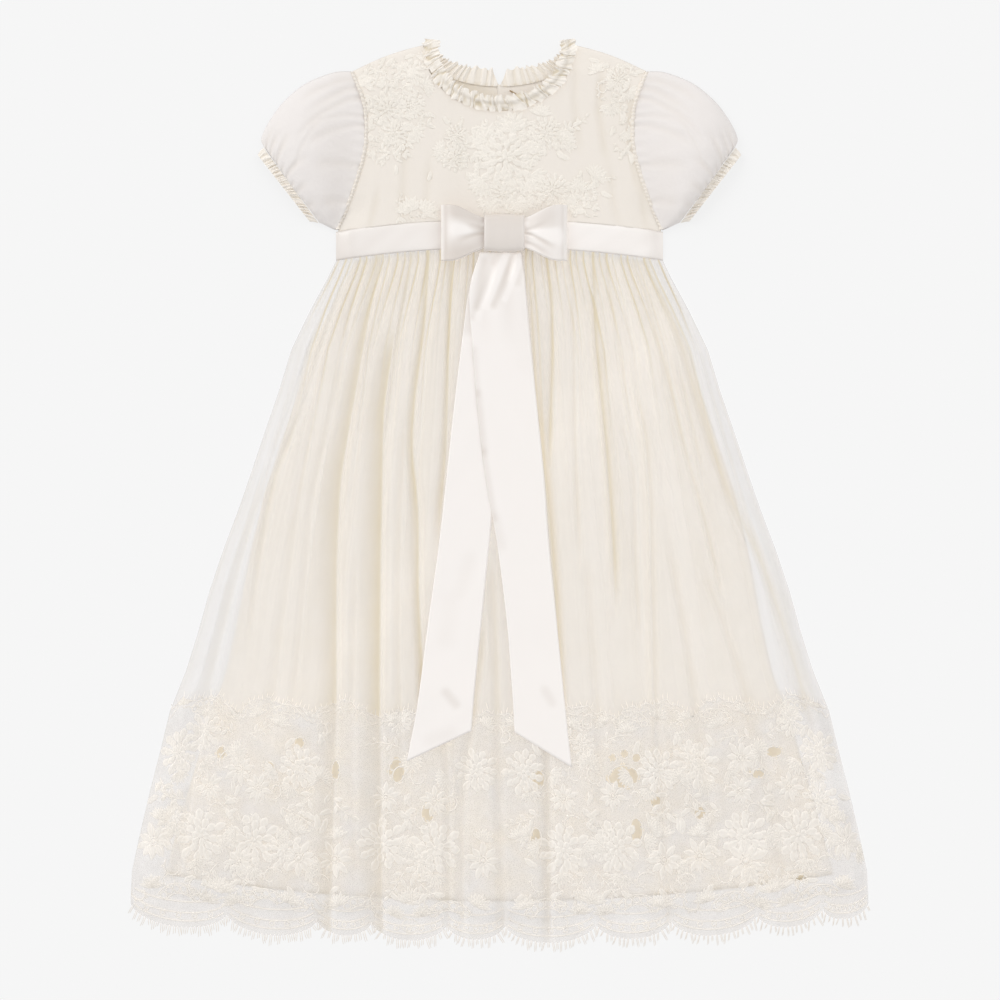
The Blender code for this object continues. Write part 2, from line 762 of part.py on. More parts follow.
def make_bodice_backs(material):
    """Two flat backs that meet at an opening down the middle."""
    right = []
    for i in range(7):
        x = mix(BACK_OPENING_HALF, WAIST_HALF - 2.0, i / 6)
        right.append((min(x, bodice_half(196.6)), band_edge(BAND_TOP_Y, x)))
    right += [(row.half, row.y) for row in BODICE_WIDTHS[2:-1]]
    right += [(x, shoulder_line(x)) for x in (95.0, 80.0, 67.0, NECK_HALF)]
    right.append((NECK_HALF, NECK_Y))
    for i in range(BACK_RUFFLE_WAVES):
        angle = BACK_RUFFLE_REACH * (1.0 - i / BACK_RUFFLE_WAVES)
        right.append(neck_point(angle, BACK_NECK_DEPTH, 0.0, 0.0))
    right.append((BACK_OPENING_HALF, neckline(BACK_OPENING_HALF, BACK_NECK_DEPTH)))
    left = [(-x, y) for x, y in reversed(right)]
    slab("bodice_back_right", right, 0.0, WALL, material)
    slab("bodice_back_left", left, 0.0, WALL, material)


def neck_point(angle, depth, inset, inset_middle):
    """A point of the neck's ellipse, moved inwards; the angle is 0 at the middle."""
    share = math.cos(angle)
    narrow = mix(inset, inset_middle, max(0.0, share))
    return ((NECK_HALF - narrow) * math.sin(angle),
            NECK_Y - (depth - narrow) * math.cos(angle))


def make_front_ruffle(material):
    columns = 2 * FRONT_RUFFLE_WAVES
    outer, inner = [], []
    for row, out in enumerate((1.0, 0.5, 0.0)):
        outer.append([])
        inner.append([])
        for column in range(columns + 1):
            angle = mix(-FRONT_RUFFLE_REACH, FRONT_RUFFLE_REACH, column / columns)
            side, middle = (RUFFLE_INSET + out * width for width in FRONT_RUFFLE_WIDTH)
            x, y = neck_point(angle, FRONT_NECK_DEPTH, side, middle)
            over_front = smooth(0.1, 0.6, math.cos(angle))
            base = mix(RUFFLE_BASE_AT_SHOULDER, FRONT_Z + RUFFLE_CLEARANCE, over_front)
            wave = RUFFLE_WAVE * (1.0 if column % 2 else -1.0) * (0.35 + 0.65 * out)
            z = base + WALL + FRONT_RUFFLE_RISE * out + wave
            outer[-1].append((x, y, z + WALL))
            inner[-1].append((x, y, z))
    wall("neck_ruffle_front", outer, inner, material)


def make_back_ruffles(material):
    columns = 2 * BACK_RUFFLE_WAVES
    for name, turn in (("neck_ruffle_back_left", -1.0), ("neck_ruffle_back_right", 1.0)):
        outer, inner = [], []
        for out in (1.0, 0.5, 0.0):
            outer.append([])
            inner.append([])
            for column in range(columns + 1):
                share = column / columns
                angle = turn * mix(math.radians(1.2), BACK_RUFFLE_REACH, share if turn > 0 else 1.0 - share)
                side, middle = BACK_RUFFLE_WIDTH
                x, y = neck_point(angle, BACK_NECK_DEPTH, GAP + out * side, GAP + out * middle)
                wave = BACK_RUFFLE_WAVE * (1.0 if column % 2 else 0.0) * (0.4 + 0.6 * out)
                outer[-1].append((x, y, WALL + wave))
                inner[-1].append((x, y, wave))
        wall(name, outer, inner, material)


def make_hook(material):
    """The bent wire hook that closes the back of the neck, lying on the inside."""
    curve = bpy.data.curves.new("neck_hook", "CURVE")
    curve.dimensions = "3D"
    curve.bevel_depth = HOOK_RADIUS * MM
    curve.bevel_resolution = 2
    curve.use_fill_caps = True
    spline = curve.splines.new("POLY")
    spline.points.add(len(HOOK_ROUTE) - 1)
    for point, (x, y) in zip(spline.points, HOOK_ROUTE):
        point.co = (x * MM, y * MM, (WALL + GAP + HOOK_RADIUS) * MM, 1.0)
    curve.materials.append(material)
    node = bpy.data.objects.new("neck_hook", curve)
    bpy.context.scene.collection.objects.link(node)


def make_waistband(material):
    columns = 20
    outer, inner = [], []
    for row, (y_middle, gap) in enumerate(((BAND_TOP_Y, -GAP), (BAND_BOTTOM_Y, GAP))):
        outer.append([])
        inner.append([])
        for column in range(columns + 1):
            x = WAIST_HALF * math.sin(math.pi / 2.0 * (2.0 * column / columns - 1.0))
            y = band_edge(y_middle, x) + gap
            z = mix(FRONT_AT_SEAM, FRONT_Z, smooth(0.0, SEAM_SLOPE, WAIST_HALF - abs(x)))
            outer[-1].append((x, y, z + SATIN_WALL))
            inner[-1].append((x, y, z))
    wall("waistband_front", outer, inner, material)
    upper = [(x, y) for x, y, _ in outer[0][::2]]
    lower = [(x, y) for x, y, _ in outer[1][::2]]
    slab("waistband_back", lower + upper[::-1], 0.0, WALL, material)


# Lace sprays on the bodice

def make_spray(spray, panel, material):
    """A flower spray with a lobed outline, raised rings of petals and a boss, laid on a panel."""
    count = spray.petals * SPRAY_POINTS_PER_PETAL
    rings = ((0.42, 0.35), (0.82, 1.0), (1.0, 0.7), (1.0, 0.0))
    lean_x, lean_y = math.cos(spray.lean), math.sin(spray.lean)
    points, faces = [], []

    def place(along, across, rise):
        along, across = along * spray.stretch, across / spray.stretch
        x = spray.x + along * lean_x - across * lean_y
        y = spray.y + along * lean_y + across * lean_x
        found, hit, _normal, _face = panel.ray_cast((x * MM, y * MM, 1.0), (0.0, 0.0, -1.0))
        points.append((x, y, (hit.z / MM if found else FRONT_Z) + SPRAY_LIFT + rise * SPRAY_THICK))

    for share, rise in rings:
        for here in range(count):
            angle = 2.0 * math.pi * here / count
            wave = abs(math.cos(spray.petals * (angle - spray.turn) / 2.0)) ** 0.6
            uneven = 1.0 - 0.12 * math.sin(3.0 * angle + spray.turn)
            reach = share * spray.radius * (0.66 + 0.34 * wave) * uneven
            place(reach * math.cos(angle), reach * math.sin(angle), rise)
    place(0.0, 0.0, 1.2)
    boss = len(points) - 1
    for here in range(count):
        there = (here + 1) % count
        faces.append([boss, here, there])
        for ring in range(len(rings) - 1):
            a, b = ring * count + here, ring * count + there
            faces.append([a, a + count, b + count, b])
    base = (len(rings) - 1) * count
    place(0.0, 0.0, 0.0)
    for here in range(count):
        faces.append([len(points) - 1, base + (here + 1) % count, base + here])
    add_node("lace_spray_" + spray.name, points, faces, material)


# Sleeves

def sleeve_ring(section, inset, shrink, top_points, under_points, ruche, side):
    """One flattened ring of a sleeve, from its top edge over the front and back under it."""
    top = (section.top_x, section.top_y)
    low = (section.low_x, section.low_y)
    length = math.hypot(low[0] - top[0], low[1] - top[1])
    across = ((low[0] - top[0]) / length, (low[1] - top[1]) / length)
    inward = (-across[1], across[0])
    edge_height = min(SLEEVE_EDGE_HEIGHT, section.height * 0.55)
    ring = []

    def place(share, z):
        along = mix(inset, length - inset, share)
        bow = section.bulge * math.sin(math.pi * along / length)
        x = top[0] + across[0] * along + inward[0] * bow
        y = top[1] + across[1] * along + inward[1] * bow
        if section.along == 0.0 and section.bulge:
            x = -bodice_half(y) - 2.0 * GAP
        ring.append((side * -x, y, z))

    for i in range(top_points + 1):
        share = i / top_points
        dome = (4.0 * share * (1.0 - share)) ** 0.7
        wave = ruche * (1.0 if i % 2 else 0.0) * smooth(0.0, 0.12, min(share, 1.0 - share))
        place(share, mix(edge_height, section.height, dome) + wave - shrink)
    for i in range(under_points + 1):
        place(1.0 - i / under_points, shrink)
    return ring


def make_sleeve(name, side, material):
    outer, inner = [], []
    for section in SLEEVE_SECTIONS:
        ruche = SLEEVE_RUCHE_AT_CUFF * smooth(0.75, 1.0, section.along)
        ruche += SLEEVE_RUCHE_AT_ARMHOLE * (1.0 - smooth(0.0, 0.25, section.along))
        shape = (SLEEVE_TOP_POINTS, SLEEVE_UNDER_POINTS, ruche, side)
        outer.append(sleeve_ring(section, 0.0, 0.0, *shape))
        inner.append(sleeve_ring(section, SLEEVE_WALL, SLEEVE_WALL, *shape))
    if side < 0:
        outer, inner = [r[::-1] for r in outer], [r[::-1] for r in inner]
    tube(name, outer, inner, material)


def make_cuff(name, side, material):
    """The elastic casing at the sleeve's edge, ruched all round."""
    outer, inner = [], []
    for section in CUFF_SECTIONS:
        shape = (CUFF_TOP_POINTS, CUFF_UNDER_POINTS, CUFF_RUCHE, side)
        outer.append(sleeve_ring(section, 0.0, 0.0, *shape))
        inner.append(sleeve_ring(section, SLEEVE_WALL, SLEEVE_WALL, *shape))
    if side < 0:
        outer, inner = [r[::-1] for r in outer], [r[::-1] for r in inner]
    tube(name, outer, inner, material)


# Bow

def normals(path):
    """The left-hand unit normal at each point of a path in a plane."""
    found = []
    for here in range(len(path)):
        before, after = path[max(0, here - 1)], path[min(len(path) - 1, here + 1)]
        dx, dz = after[0] - before[0], after[1] - before[1]
        length = math.hypot(dx, dz)
        found.append((-dz / length, dx / length))
    return found


def make_loop(name, side, material):
    """A ribbon loop: a strip folded back on itself, pinched and creased where it enters the knot."""
    across_points = 7
    outer, inner = [], []
    path_normals = normals(LOOP_PATH)
    for step, (point, (nx, nz)) in enumerate(zip(LOOP_PATH, path_normals)):
        spread = smooth(10.0, 40.0, point.across)
        half = mix(LOOP_HALF_AT_KNOT, LOOP_HALF_OUTSIDE, spread)
        outer.append([])
        inner.append([])
        for i in range(across_points):
            share = 2.0 * i / (across_points - 1) - 1.0
            z = point.z
            if step < LOOP_UPPER_POINTS:
                pinch = (1.0 - spread) * smooth(6.0, 16.0, point.across)
                z -= LOOP_CREASE * math.cos(1.5 * math.pi * share) * pinch
            x = BOW_X + side * point.across
            y = BOW_Y - half * share
            outer[-1].append((x + side * nx * RIBBON_WALL / 2.0, y, z + nz * RIBBON_WALL / 2.0))
            inner[-1].append((x - side * nx * RIBBON_WALL / 2.0, y, z - nz * RIBBON_WALL / 2.0))
    if side > 0:
        wall(name, outer[::-1], inner[::-1], material)
    else:
        wall(name, outer, inner, material)


def make_knot(material):
    """A short band wrapped over the middle of the bow from its upper to its lower edge."""
    path_normals = normals(KNOT_PATH)
    outer, inner = [], []
    for point, (ny, nz) in zip(KNOT_PATH, path_normals):
        outer.append([])
        inner.append([])
        for i in range(4):
            x = BOW_X + KNOT_HALF_WIDTH * (2.0 * i / 3 - 1.0)
            outer[-1].append((x, BOW_Y + point.across, point.z))
            inner[-1].append((x, BOW_Y + point.across + ny * WALL, point.z + nz * WALL))
    wall("bow_knot", outer, inner, material)


def make_tail(name, table, lift, material):
    """A ribbon tail from the knot, lying on the crests of the skirt's folds. The lift carries
    it over the other tail, where they cross."""
    outer, inner = [], []
    for row, ends in enumerate(table):
        outer.append([])
        inner.append([])
        for i in range(TAIL_COLUMNS + 1):
            share = i / TAIL_COLUMNS
            x = mix(ends.inner_x, ends.outer_x, share)
            y = mix(ends.inner_y, ends.outer_y, share)
            pleat = TAIL_PLEAT * (1.0 if i % 2 else 0.0) * smooth(*TAIL_PLEAT_Y, y)
            z = crest_height(y) + GAP + pleat + lift * smooth(*TAIL_CROSSING_Y, y)
            outer[-1].append((x, y, z + RIBBON_WALL))
            inner[-1].append((x, y, z))
    if table[0].inner_x > table[0].outer_x:
        outer, inner = [row[::-1] for row in outer], [row[::-1] for row in inner]
    wall(name, outer, inner, material)


def main():
    for old in list(bpy.data.objects):
        bpy.data.objects.remove(old, do_unlink=True)
    chiffon = cloth("sheer_ivory", (0.86, 0.80, 0.70), 0.75, 0.3)
    satin = cloth("satin_ivory", (0.91, 0.87, 0.81), 0.28, 0.1)
    lining = cloth("lining_ivory", (0.84, 0.77, 0.66), 0.6, 0.2)
    lace = cloth("lace_ivory", (0.90, 0.85, 0.77), 0.8, 0.3)
    bodice = cloth("bodice_ivory", (0.86, 0.80, 0.71), 0.7, 0.3)
    hook = metal("hook_metal", (0.42, 0.30, 0.18))

    make_skirt_back(chiffon)
    make_skirt_front(chiffon)
    make_linings(lining)
    make_lace_border_front(lace)
    make_lace_border_back(lace)
    panel = make_bodice_front(bodice)
    make_bodice_backs(bodice)
    make_front_ruffle(chiffon)
    make_back_ruffles(chiffon)
    make_hook(hook)
    make_waistband(satin)
    bpy.context.view_layer.update()
    for spray in SPRAYS:
        make_spray(spray, panel, lace)
    for side, word in ((-1.0, "left"), (1.0, "right")):
        make_sleeve("sleeve_" + word, side, chiffon)
        make_cuff("cuff_" + word, side, chiffon)
        make_loop("bow_loop_" + word, side, satin)
    make_knot(satin)
    make_tail("bow_tail_left", LEFT_TAIL, 0.0, satin)
    make_tail("bow_tail_right", RIGHT_TAIL, RIBBON_WALL + TAIL_PLEAT + 2.0 * GAP, satin)


main()
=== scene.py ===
import math
from collections import namedtuple

import bpy
import numpy as np
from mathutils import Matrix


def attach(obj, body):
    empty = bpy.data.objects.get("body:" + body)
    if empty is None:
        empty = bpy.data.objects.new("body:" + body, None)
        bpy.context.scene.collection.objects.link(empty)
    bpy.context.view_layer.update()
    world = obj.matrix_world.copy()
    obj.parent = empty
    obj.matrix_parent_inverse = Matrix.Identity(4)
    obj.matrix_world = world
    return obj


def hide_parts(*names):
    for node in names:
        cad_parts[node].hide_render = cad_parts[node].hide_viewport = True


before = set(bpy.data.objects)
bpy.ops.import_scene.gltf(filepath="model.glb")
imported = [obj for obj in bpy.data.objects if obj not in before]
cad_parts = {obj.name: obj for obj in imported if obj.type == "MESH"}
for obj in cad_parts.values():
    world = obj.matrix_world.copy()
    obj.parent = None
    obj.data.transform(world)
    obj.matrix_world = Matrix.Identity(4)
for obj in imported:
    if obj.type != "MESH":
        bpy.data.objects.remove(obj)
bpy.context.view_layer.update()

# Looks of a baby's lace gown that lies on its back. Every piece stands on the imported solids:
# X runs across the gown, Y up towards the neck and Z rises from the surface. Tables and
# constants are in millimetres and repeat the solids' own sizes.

MM = 0.001
VIEW_WIDTH = 735
VIEW_PIXELS = 1000
PIXEL = VIEW_WIDTH / VIEW_PIXELS
VIEW_MIDDLE = (499.5, 495.5)
CAMERA_HEIGHT = 3000

# Layers above the surface, as in the solids
GAP = 0.3
FRONT_AT_SEAM = 1.5
LINING_BACK_Z = 1.5
LINING_FRONT_Z = 3
FRONT_Z = 4.5
FOLDED_WALL = 1.5
SEAM_SLOPE = 12
SIDES = ((-1, "left"), (1, "right"))

WAIST_HALF = 120
BAND_TOP_Y = 202.5
BAND_BOTTOM_Y = 182
BAND_ARCH = 9.2

NECK_Y = 328
NECK_HALF = 55
FRONT_NECK_DEPTH = 46
BACK_NECK_DEPTH = 26
SHOULDER_X, SHOULDER_Y = 108, 311.5
NECK_POINT_Y = 331
BODICE_SLOPE = 22
UNDERARM_Y = 203

HEM_HALF = 271
SKIRT_LENGTH = 490
HEM_Y = -315
HEM_ARCH = 16
FAN = 0.40
LACE_TOP_Y = -157
LACE_TOP_BUMPS = 9
LACE_TOP_BUMP = 11
LINING_HEM_Y = -298
LINING_HEM_ARCH = 24
SCALLOP_DEPTH = 13.5

BOW_X, BOW_Y = 3.5, 192.3
KNOT_HALF_WIDTH = 14.7
LOOP_HALF_AT_KNOT, LOOP_HALF_OUTSIDE = 10.1, 20.3

Section = namedtuple("Section", "along top_x top_y low_x low_y bulge height")
Fold = namedtuple("Fold", "route depth left right tone")
Motif = namedtuple("Motif", "kind a b size turn")
Hole = namedtuple("Hole", "a b half_a half_b")
Patch = namedtuple("Patch", "a b half_a half_b count size")
Cloth = namedtuple("Cloth", "material slot")
Sheet = namedtuple("Sheet", "name width length area held rests_on sewn_on")

SKIRT_Y = (172.5, 160, 136, 107, 77, 48, 18, -11, -40, -70, -99, -128,
           -158, -187, -216, -246, -276, -300, -340)
SKIRT_HALF = (120, 126, 139, 153, 162, 172, 182, 192, 203, 213, 221, 230,
              242, 249, 256.5, 263.5, 270, 271, 271)
LINING_Y = (172.5, 0, -77, -136, -200, -300)
LINING_INSET = (14, 15, 26, 31, 29, 24)
BODICE_Y = (196, 201, 208, 220, 232, 245, 258, 272, 284, 295, 305, 311.5, 340)
BODICE_HALF = (118.5, 116.5, 113, 108, 104, 100, 97.5, 97, 98, 101, 105, 108, 108)
HEM_VALLEYS = (-271, -200, -134, -94, -39, 4, 71, 126, 189, 237, 271)
FOLD_DOWN = (0, 0.05, 0.16, 0.38, 0.65, 1)
FOLD_CREST = (0, 1.7, 2.8, 3.4, 3.6, 2.8)
TAIL_OVER_CREST = (0.3, 0.8, 0.8, 0.3, 0, 0)

SLEEVE_SECTIONS = [Section(*row) for row in (
    (0.00, -108.6, 311.5, -119.4, 194.6, 13.5, 6.6),
    (0.16, -122, 310.5, -121.6, 195.4, 8, 10.5),
    (0.34, -142, 302.5, -123.9, 196.4, 2, 16),
    (0.54, -158.5, 289, -126.3, 197.5, -2, 17.5),
    (0.74, -169.5, 274, -128.7, 198.7, -2.5, 15.5),
    (0.90, -174.8, 262, -130.6, 199.6, -1.5, 11.5),
    (1.00, -173, 255.8, -132.3, 200.3, 0, 8.4),
)]
CUFF_SECTIONS = [Section(*row) for row in (
    (0.00, -173.2, 255.4, -132.8, 200, 0, 8.4),
    (0.50, -175.6, 253, -136, 200.8, 0, 7.8),
    (1.00, -177.6, 250, -139.3, 201, 0, 8.6),
)]

LOOP_PATH = ((5, 12.2), (14, 13.6), (25, 17.6), (36, 18.8), (43.5, 16.2),
             (46.2, 12), (44, 8.8), (34, 7.9), (20, 7.9), (5, 7.9))
KNOT_PATH = ((13.4, 7.4), (13.4, 12.5), (11.8, 16.6), (7.2, 18.4), (0, 18.9),
             (-7.2, 18.4), (-11.8, 16.6), (-13.4, 12.5), (-13.4, 7.4))

# Tails: inner x, inner y, outer x, outer y of each row from the knot down
LEFT_TAIL = (
    (14, 178.2, -14, 178.2), (12, 150, -22.5, 150), (7, 110, -28, 110),
    (1.5, 60, -34, 60), (-3.5, 10, -39.5, 8), (-7, -30, -44.5, -36),
    (-13, -90, -53, -98), (-18, -140, -60, -152), (-20.6, -172.4, -68, -194.8),
)
RIGHT_TAIL = (
    (-14.5, 178.2, 16.5, 178.2), (-22, 150, 19.5, 150), (-20, 110, 23, 110),
    (-16, 60, 28, 60), (-10, 10, 33, 10), (-2.2, -33, 36, -33),
    (5, -90, 41.5, -88), (9, -140, 47.5, -148), (11, -173.4, 53, -199.3),
)

# Creases of the skirt front: the places they pass in the view, the share of the folds' height
# they take away, how far their painted shade reaches to the left and the right, and its strength.
# A short reach on one side is the crisp edge of a fold that lies over the next one.
FOLDS = [Fold(*row) for row in (
    (((430, 246), (424, 330), (415, 393), (411, 450), (418, 508), (418, 594), (425, 720)), 0.85, 7, 1.8, 0.9),
    (((416, 246), (397, 340), (389, 411), (382, 470)), 0.6, 4.5, 2, 0.6),
    (((352, 256), (318, 356), (303, 411), (275, 474), (263, 537), (249, 640)), 0.55, 4, 6, 0.3),
    (((452, 246), (449, 350), (446, 451), (438, 540)), 0.8, 6, 2, 0.8),
    (((384, 246), (366, 330), (352, 410), (340, 480), (336, 560), (336, 690), (329, 960)), 0.9, 15, 1.6, 0.75),
    (((395, 330), (383, 410), (380, 560), (379, 690), (382, 960)), 0.95, 17, 1.5, 0.85),
    (((340, 252), (322, 310), (300, 380), (272, 460)), 0.35, 5, 3, 0.15),
    (((368, 252), (352, 310), (335, 400), (312, 500), (300, 640), (292, 720)), 0.4, 6, 3, 0.2),
    (((312, 420), (296, 520), (280, 640), (268, 760)), 0.3, 8, 5, 0.2),
    (((405, 420), (400, 520), (398, 640), (402, 760)), 0.35, 6, 3, 0.3),
    (((356, 560), (354, 640), (352, 760), (356, 900)), 0.3, 5, 4, 0.2),
    (((262, 480), (236, 580), (216, 660), (196, 760), (176, 900)), 0.5, 9, 5, 0.2),
    (((445, 560), (440, 690), (449, 780), (449, 960)), 0.6, 6, 2, 0.5),
    (((486, 620), (476, 700), (462, 800), (462, 960)), 0.8, 9, 4, 0.45),
    (((492, 560), (497, 680), (500, 800), (504, 960)), 0.7, 7, 5, 0.4),
    (((527, 246), (536, 393), (547, 488), (556, 594), (562, 720)), 0.7, 2, 7, 0.8),
    (((543, 246), (553, 293), (552, 365), (549, 470)), 0.8, 3, 4, 0.85),
    (((566, 246), (573, 307), (575, 451), (580, 560)), 0.45, 3, 3.5, 0.4),
    (((592, 246), (595, 336), (608, 465), (613, 537), (616, 600)), 0.85, 1.8, 6.5, 0.9),
    (((604, 250), (618, 350), (632, 430)), 0.5, 2.5, 4, 0.45),
    (((628, 250), (651, 316), (668, 379), (685, 451), (705, 523), (722, 600)), 0.55, 3, 5, 0.5),
    (((632, 380), (646, 436), (651, 508), (654, 680), (670, 960)), 0.5, 1.8, 6, 0.45),
    (((674, 350), (690, 420), (704, 480)), 0.4, 3, 4, 0.4),
    (((620, 420), (634, 474), (635, 566), (640, 640)), 0.4, 3, 4, 0.35),
    (((640, 252), (676, 330), (702, 420), (728, 494), (763, 566), (791, 652), (815, 740)), 0.6, 6, 9, 0.5),
    (((548, 620), (548, 720), (549, 850), (549, 960)), 0.85, 7, 1.6, 0.6),
    (((586, 560), (592, 640), (598, 720), (600, 820)), 0.35, 4, 7, 0.25),
    (((668, 540), (686, 640), (700, 740), (716, 880)), 0.4, 5, 7, 0.3),
    (((700, 560), (736, 660), (762, 760), (786, 900)), 0.4, 5, 8, 0.3),
)]

# Fine gathers at the waist: spacing, depth and length of each in turn
GATHER_PITCH = (5.4, 4.2, 6.1, 4.8, 7, 5, 4.4, 6.4, 5.2, 4, 5.8, 6.6, 4.5, 5.1, 3.9, 6.2, 4.7, 5.5,
                4.1, 6.8, 5.3, 4.6, 5.9, 4.3, 6, 5.6, 4.9, 6.5, 4.4, 5.7, 5, 6.3, 4.2, 5.4, 6.9, 4.8)
GATHER_DEPTH = (0.7, 1.1, 0.6, 0.9, 1.2, 0.5, 0.9, 0.7, 1.2, 0.8, 0.6, 1, 0.9, 0.5, 1.1, 0.8, 1, 0.6)
GATHER_LENGTH = (70, 120, 55, 160, 85, 110, 60, 190, 75, 100, 65, 140, 90, 50, 170, 80, 115, 60, 95, 130)
GATHERS = (GATHER_PITCH, GATHER_DEPTH, GATHER_LENGTH)


# Small mathematics

def smooth(low, high, value):
    share = np.clip((value - low) / (high - low), 0, 1)
    return share * share * (3 - 2 * share)


def mix(low, high, share):
    return low + (high - low) * share


def read(places, values, at):
    """A table's value at a place; the table's places may rise or fall."""
    order = np.argsort(places)
    return np.interp(at, np.array(places, float)[order], np.array(values, float)[order])


def at(px, py):
    """Millimetres across and up the gown for a place in the 1000 x 1000 view."""
    return (px - VIEW_MIDDLE[0]) * PIXEL, (VIEW_MIDDLE[1] - py) * PIXEL


def route_up(route):
    """The places of a route through the view, from the hem up: across and up the gown."""
    places = np.array([at(*place) for place in route])[::-1]
    return places[:, 0], places[:, 1]


def across_row(low, high, count):
    """Even values along the columns of a grid."""
    return np.linspace(low, high, count)[None, :]


def down_column(low, high, count):
    """Even values down the rows of a grid."""
    return np.linspace(low, high, count)[:, None]


def nearness(away, reach):
    """One on a line, and zero from its reach on."""
    return np.clip(1 - np.abs(away) / reach, 0, 1)


def bell(value, middle, reach):
    """A smooth hump round a value."""
    return np.exp(-((value - middle) / reach) ** 2)


def stacked(*grids):
    """Points from the grids of their x, y and z, or of their cloth coordinates."""
    return np.stack(np.broadcast_arrays(*grids), -1)


def rounded(near):
    """A nearness as a round hump."""
    return 0.5 - 0.5 * np.cos(math.pi * near)


def wobble(value, seed):
    """Smooth uneven waves between -1 and 1 along one direction, the same each run."""
    waves = 0
    for turn, (pace, weight) in enumerate(((1, 0.45), (2.31, 0.3), (4.13, 0.25))):
        waves = waves + weight * np.sin(pace * value + 1.7 * seed + 2.3 * turn)
    return waves


def along_path(path, count):
    """A smooth curve through the points of a path, as count points."""
    path = np.array(path, float)
    ends = np.vstack([2 * path[0] - path[1], path, 2 * path[-1] - path[-2]])
    place = np.linspace(0, len(path) - 1.0001, count)
    first = place.astype(int)
    t = (place - first)[:, None]
    a, b, c, d = (ends[first + i] for i in range(4))
    return 0.5 * (2 * b + (c - a) * t + (2 * a - 5 * b + 4 * c - d) * t ** 2
                  + (3 * b - a - 3 * c + d) * t ** 3)


# Shared shapes, the same as the solids'

def band_edge(y_middle, x):
    return y_middle - BAND_ARCH * (x / WAIST_HALF) ** 2


def skirt_half(y):
    return read(SKIRT_Y, SKIRT_HALF, y)


def hem_line(share):
    return HEM_Y + HEM_ARCH * share * share


def scallop(share):
    """How far the lace hangs below the line where its scallops meet."""
    x = np.clip(share, -0.9999, 0.9999) * HEM_HALF
    valleys = np.array(HEM_VALLEYS, float)
    place = np.clip(np.searchsorted(valleys, x, side="right") - 1, 0, len(valleys) - 2)
    left, right = valleys[place], valleys[place + 1]
    across = 2 * (x - left) / (right - left) - 1
    width_share = np.minimum(1, (right - left) / 66)
    return SCALLOP_DEPTH * np.sqrt(width_share) * np.maximum(0, 1 - across * across) ** 0.6


def skirt_x(share, down):
    fanned = share + FAN * np.maximum(0, 1 - down) ** 1.5 * share * (1 - share * share)
    y = mix(band_edge(BAND_BOTTOM_Y - GAP, fanned * WAIST_HALF), hem_line(share), down)
    return fanned * skirt_half(y), y


def down_at(share, y):
    """The share of the skirt's length at which a column reaches y."""
    share, y = np.broadcast_arrays(np.asarray(share, float), np.asarray(y, float))
    low, high = np.zeros(share.shape), np.full(share.shape, 1.2)
    for _ in range(24):
        middle = (low + high) / 2
        above = skirt_x(share, middle)[1] > y
        low, high = np.where(above, middle, low), np.where(above, high, middle)
    return low


def x_of(share, y):
    """How far across a column of the skirt lies at a height up the gown."""
    return skirt_x(share, down_at(share, y))[0]


def share_of(x, y):
    """The column of the skirt whose place at this height is x."""
    low, high = -1, 1
    for _ in range(30):
        middle = (low + high) / 2
        low, high = (middle, high) if float(x_of(middle, y)) < x else (low, middle)
    return low


def lace_top(share):
    wave = np.abs(np.sin(math.pi * LACE_TOP_BUMPS * (share + 1) / 2)) ** 0.7
    return LACE_TOP_Y + 5 * share * share + LACE_TOP_BUMP * wave


def lace_edge(share):
    """The lace's uneven top edge as sewn, at or under the bumps' line."""
    uneven = 3.6 * (1 + wobble(share * 47, 4)) + 1.2 * (1 + wobble(share * 140, 1))
    return lace_top(share) - uneven - 8 * bell(share, -0.02, 0.34)


def top_of_lace(share, front):
    return lace_edge(share) if front else lace_top(share)


def lining_hem(x):
    return LINING_HEM_Y + LINING_HEM_ARCH * (x / HEM_HALF) ** 2


def lining_side(y):
    return skirt_half(y) - read(LINING_Y, LINING_INSET, y)


def shoulder_line(x):
    share = (np.abs(x) - NECK_HALF) / (SHOULDER_X - NECK_HALF)
    return mix(NECK_POINT_Y, SHOULDER_Y, share) + 2.2 * np.sin(math.pi * np.clip(share, 0, 1))


def neckline(x, depth):
    return NECK_Y - depth * np.sqrt(np.maximum(0, 1 - (x / NECK_HALF) ** 2))


def bodice_half(y):
    return read(BODICE_Y, BODICE_HALF, y)


def bodice_z(x, y):
    side = smooth(0, BODICE_SLOPE, bodice_half(y) - np.abs(x))
    side = mix(side, 1, smooth(UNDERARM_Y, UNDERARM_Y + BODICE_SLOPE, y))
    shoulder = smooth(0, BODICE_SLOPE, shoulder_line(x) - y)
    return mix(FRONT_AT_SEAM, FRONT_Z, side * shoulder) + FOLDED_WALL


def neck_point(angle, depth, inset, inset_middle):
    narrow = mix(inset, inset_middle, np.maximum(0, np.cos(angle)))
    return (NECK_HALF - narrow) * np.sin(angle), NECK_Y - (depth - narrow) * np.cos(angle)


# Folds of the skirt front

# The narrowest reach of the painted crease shade and of the folds' slopes, the painted highlight beside a
# crisp fold edge, and the range of the painted shading
NARROWEST_SHADE, NARROWEST_SLOPE = 2.8, 4.4
EDGE_GLEAM = 0.26
SHADING_RANGE = (-0.24, 1.2)


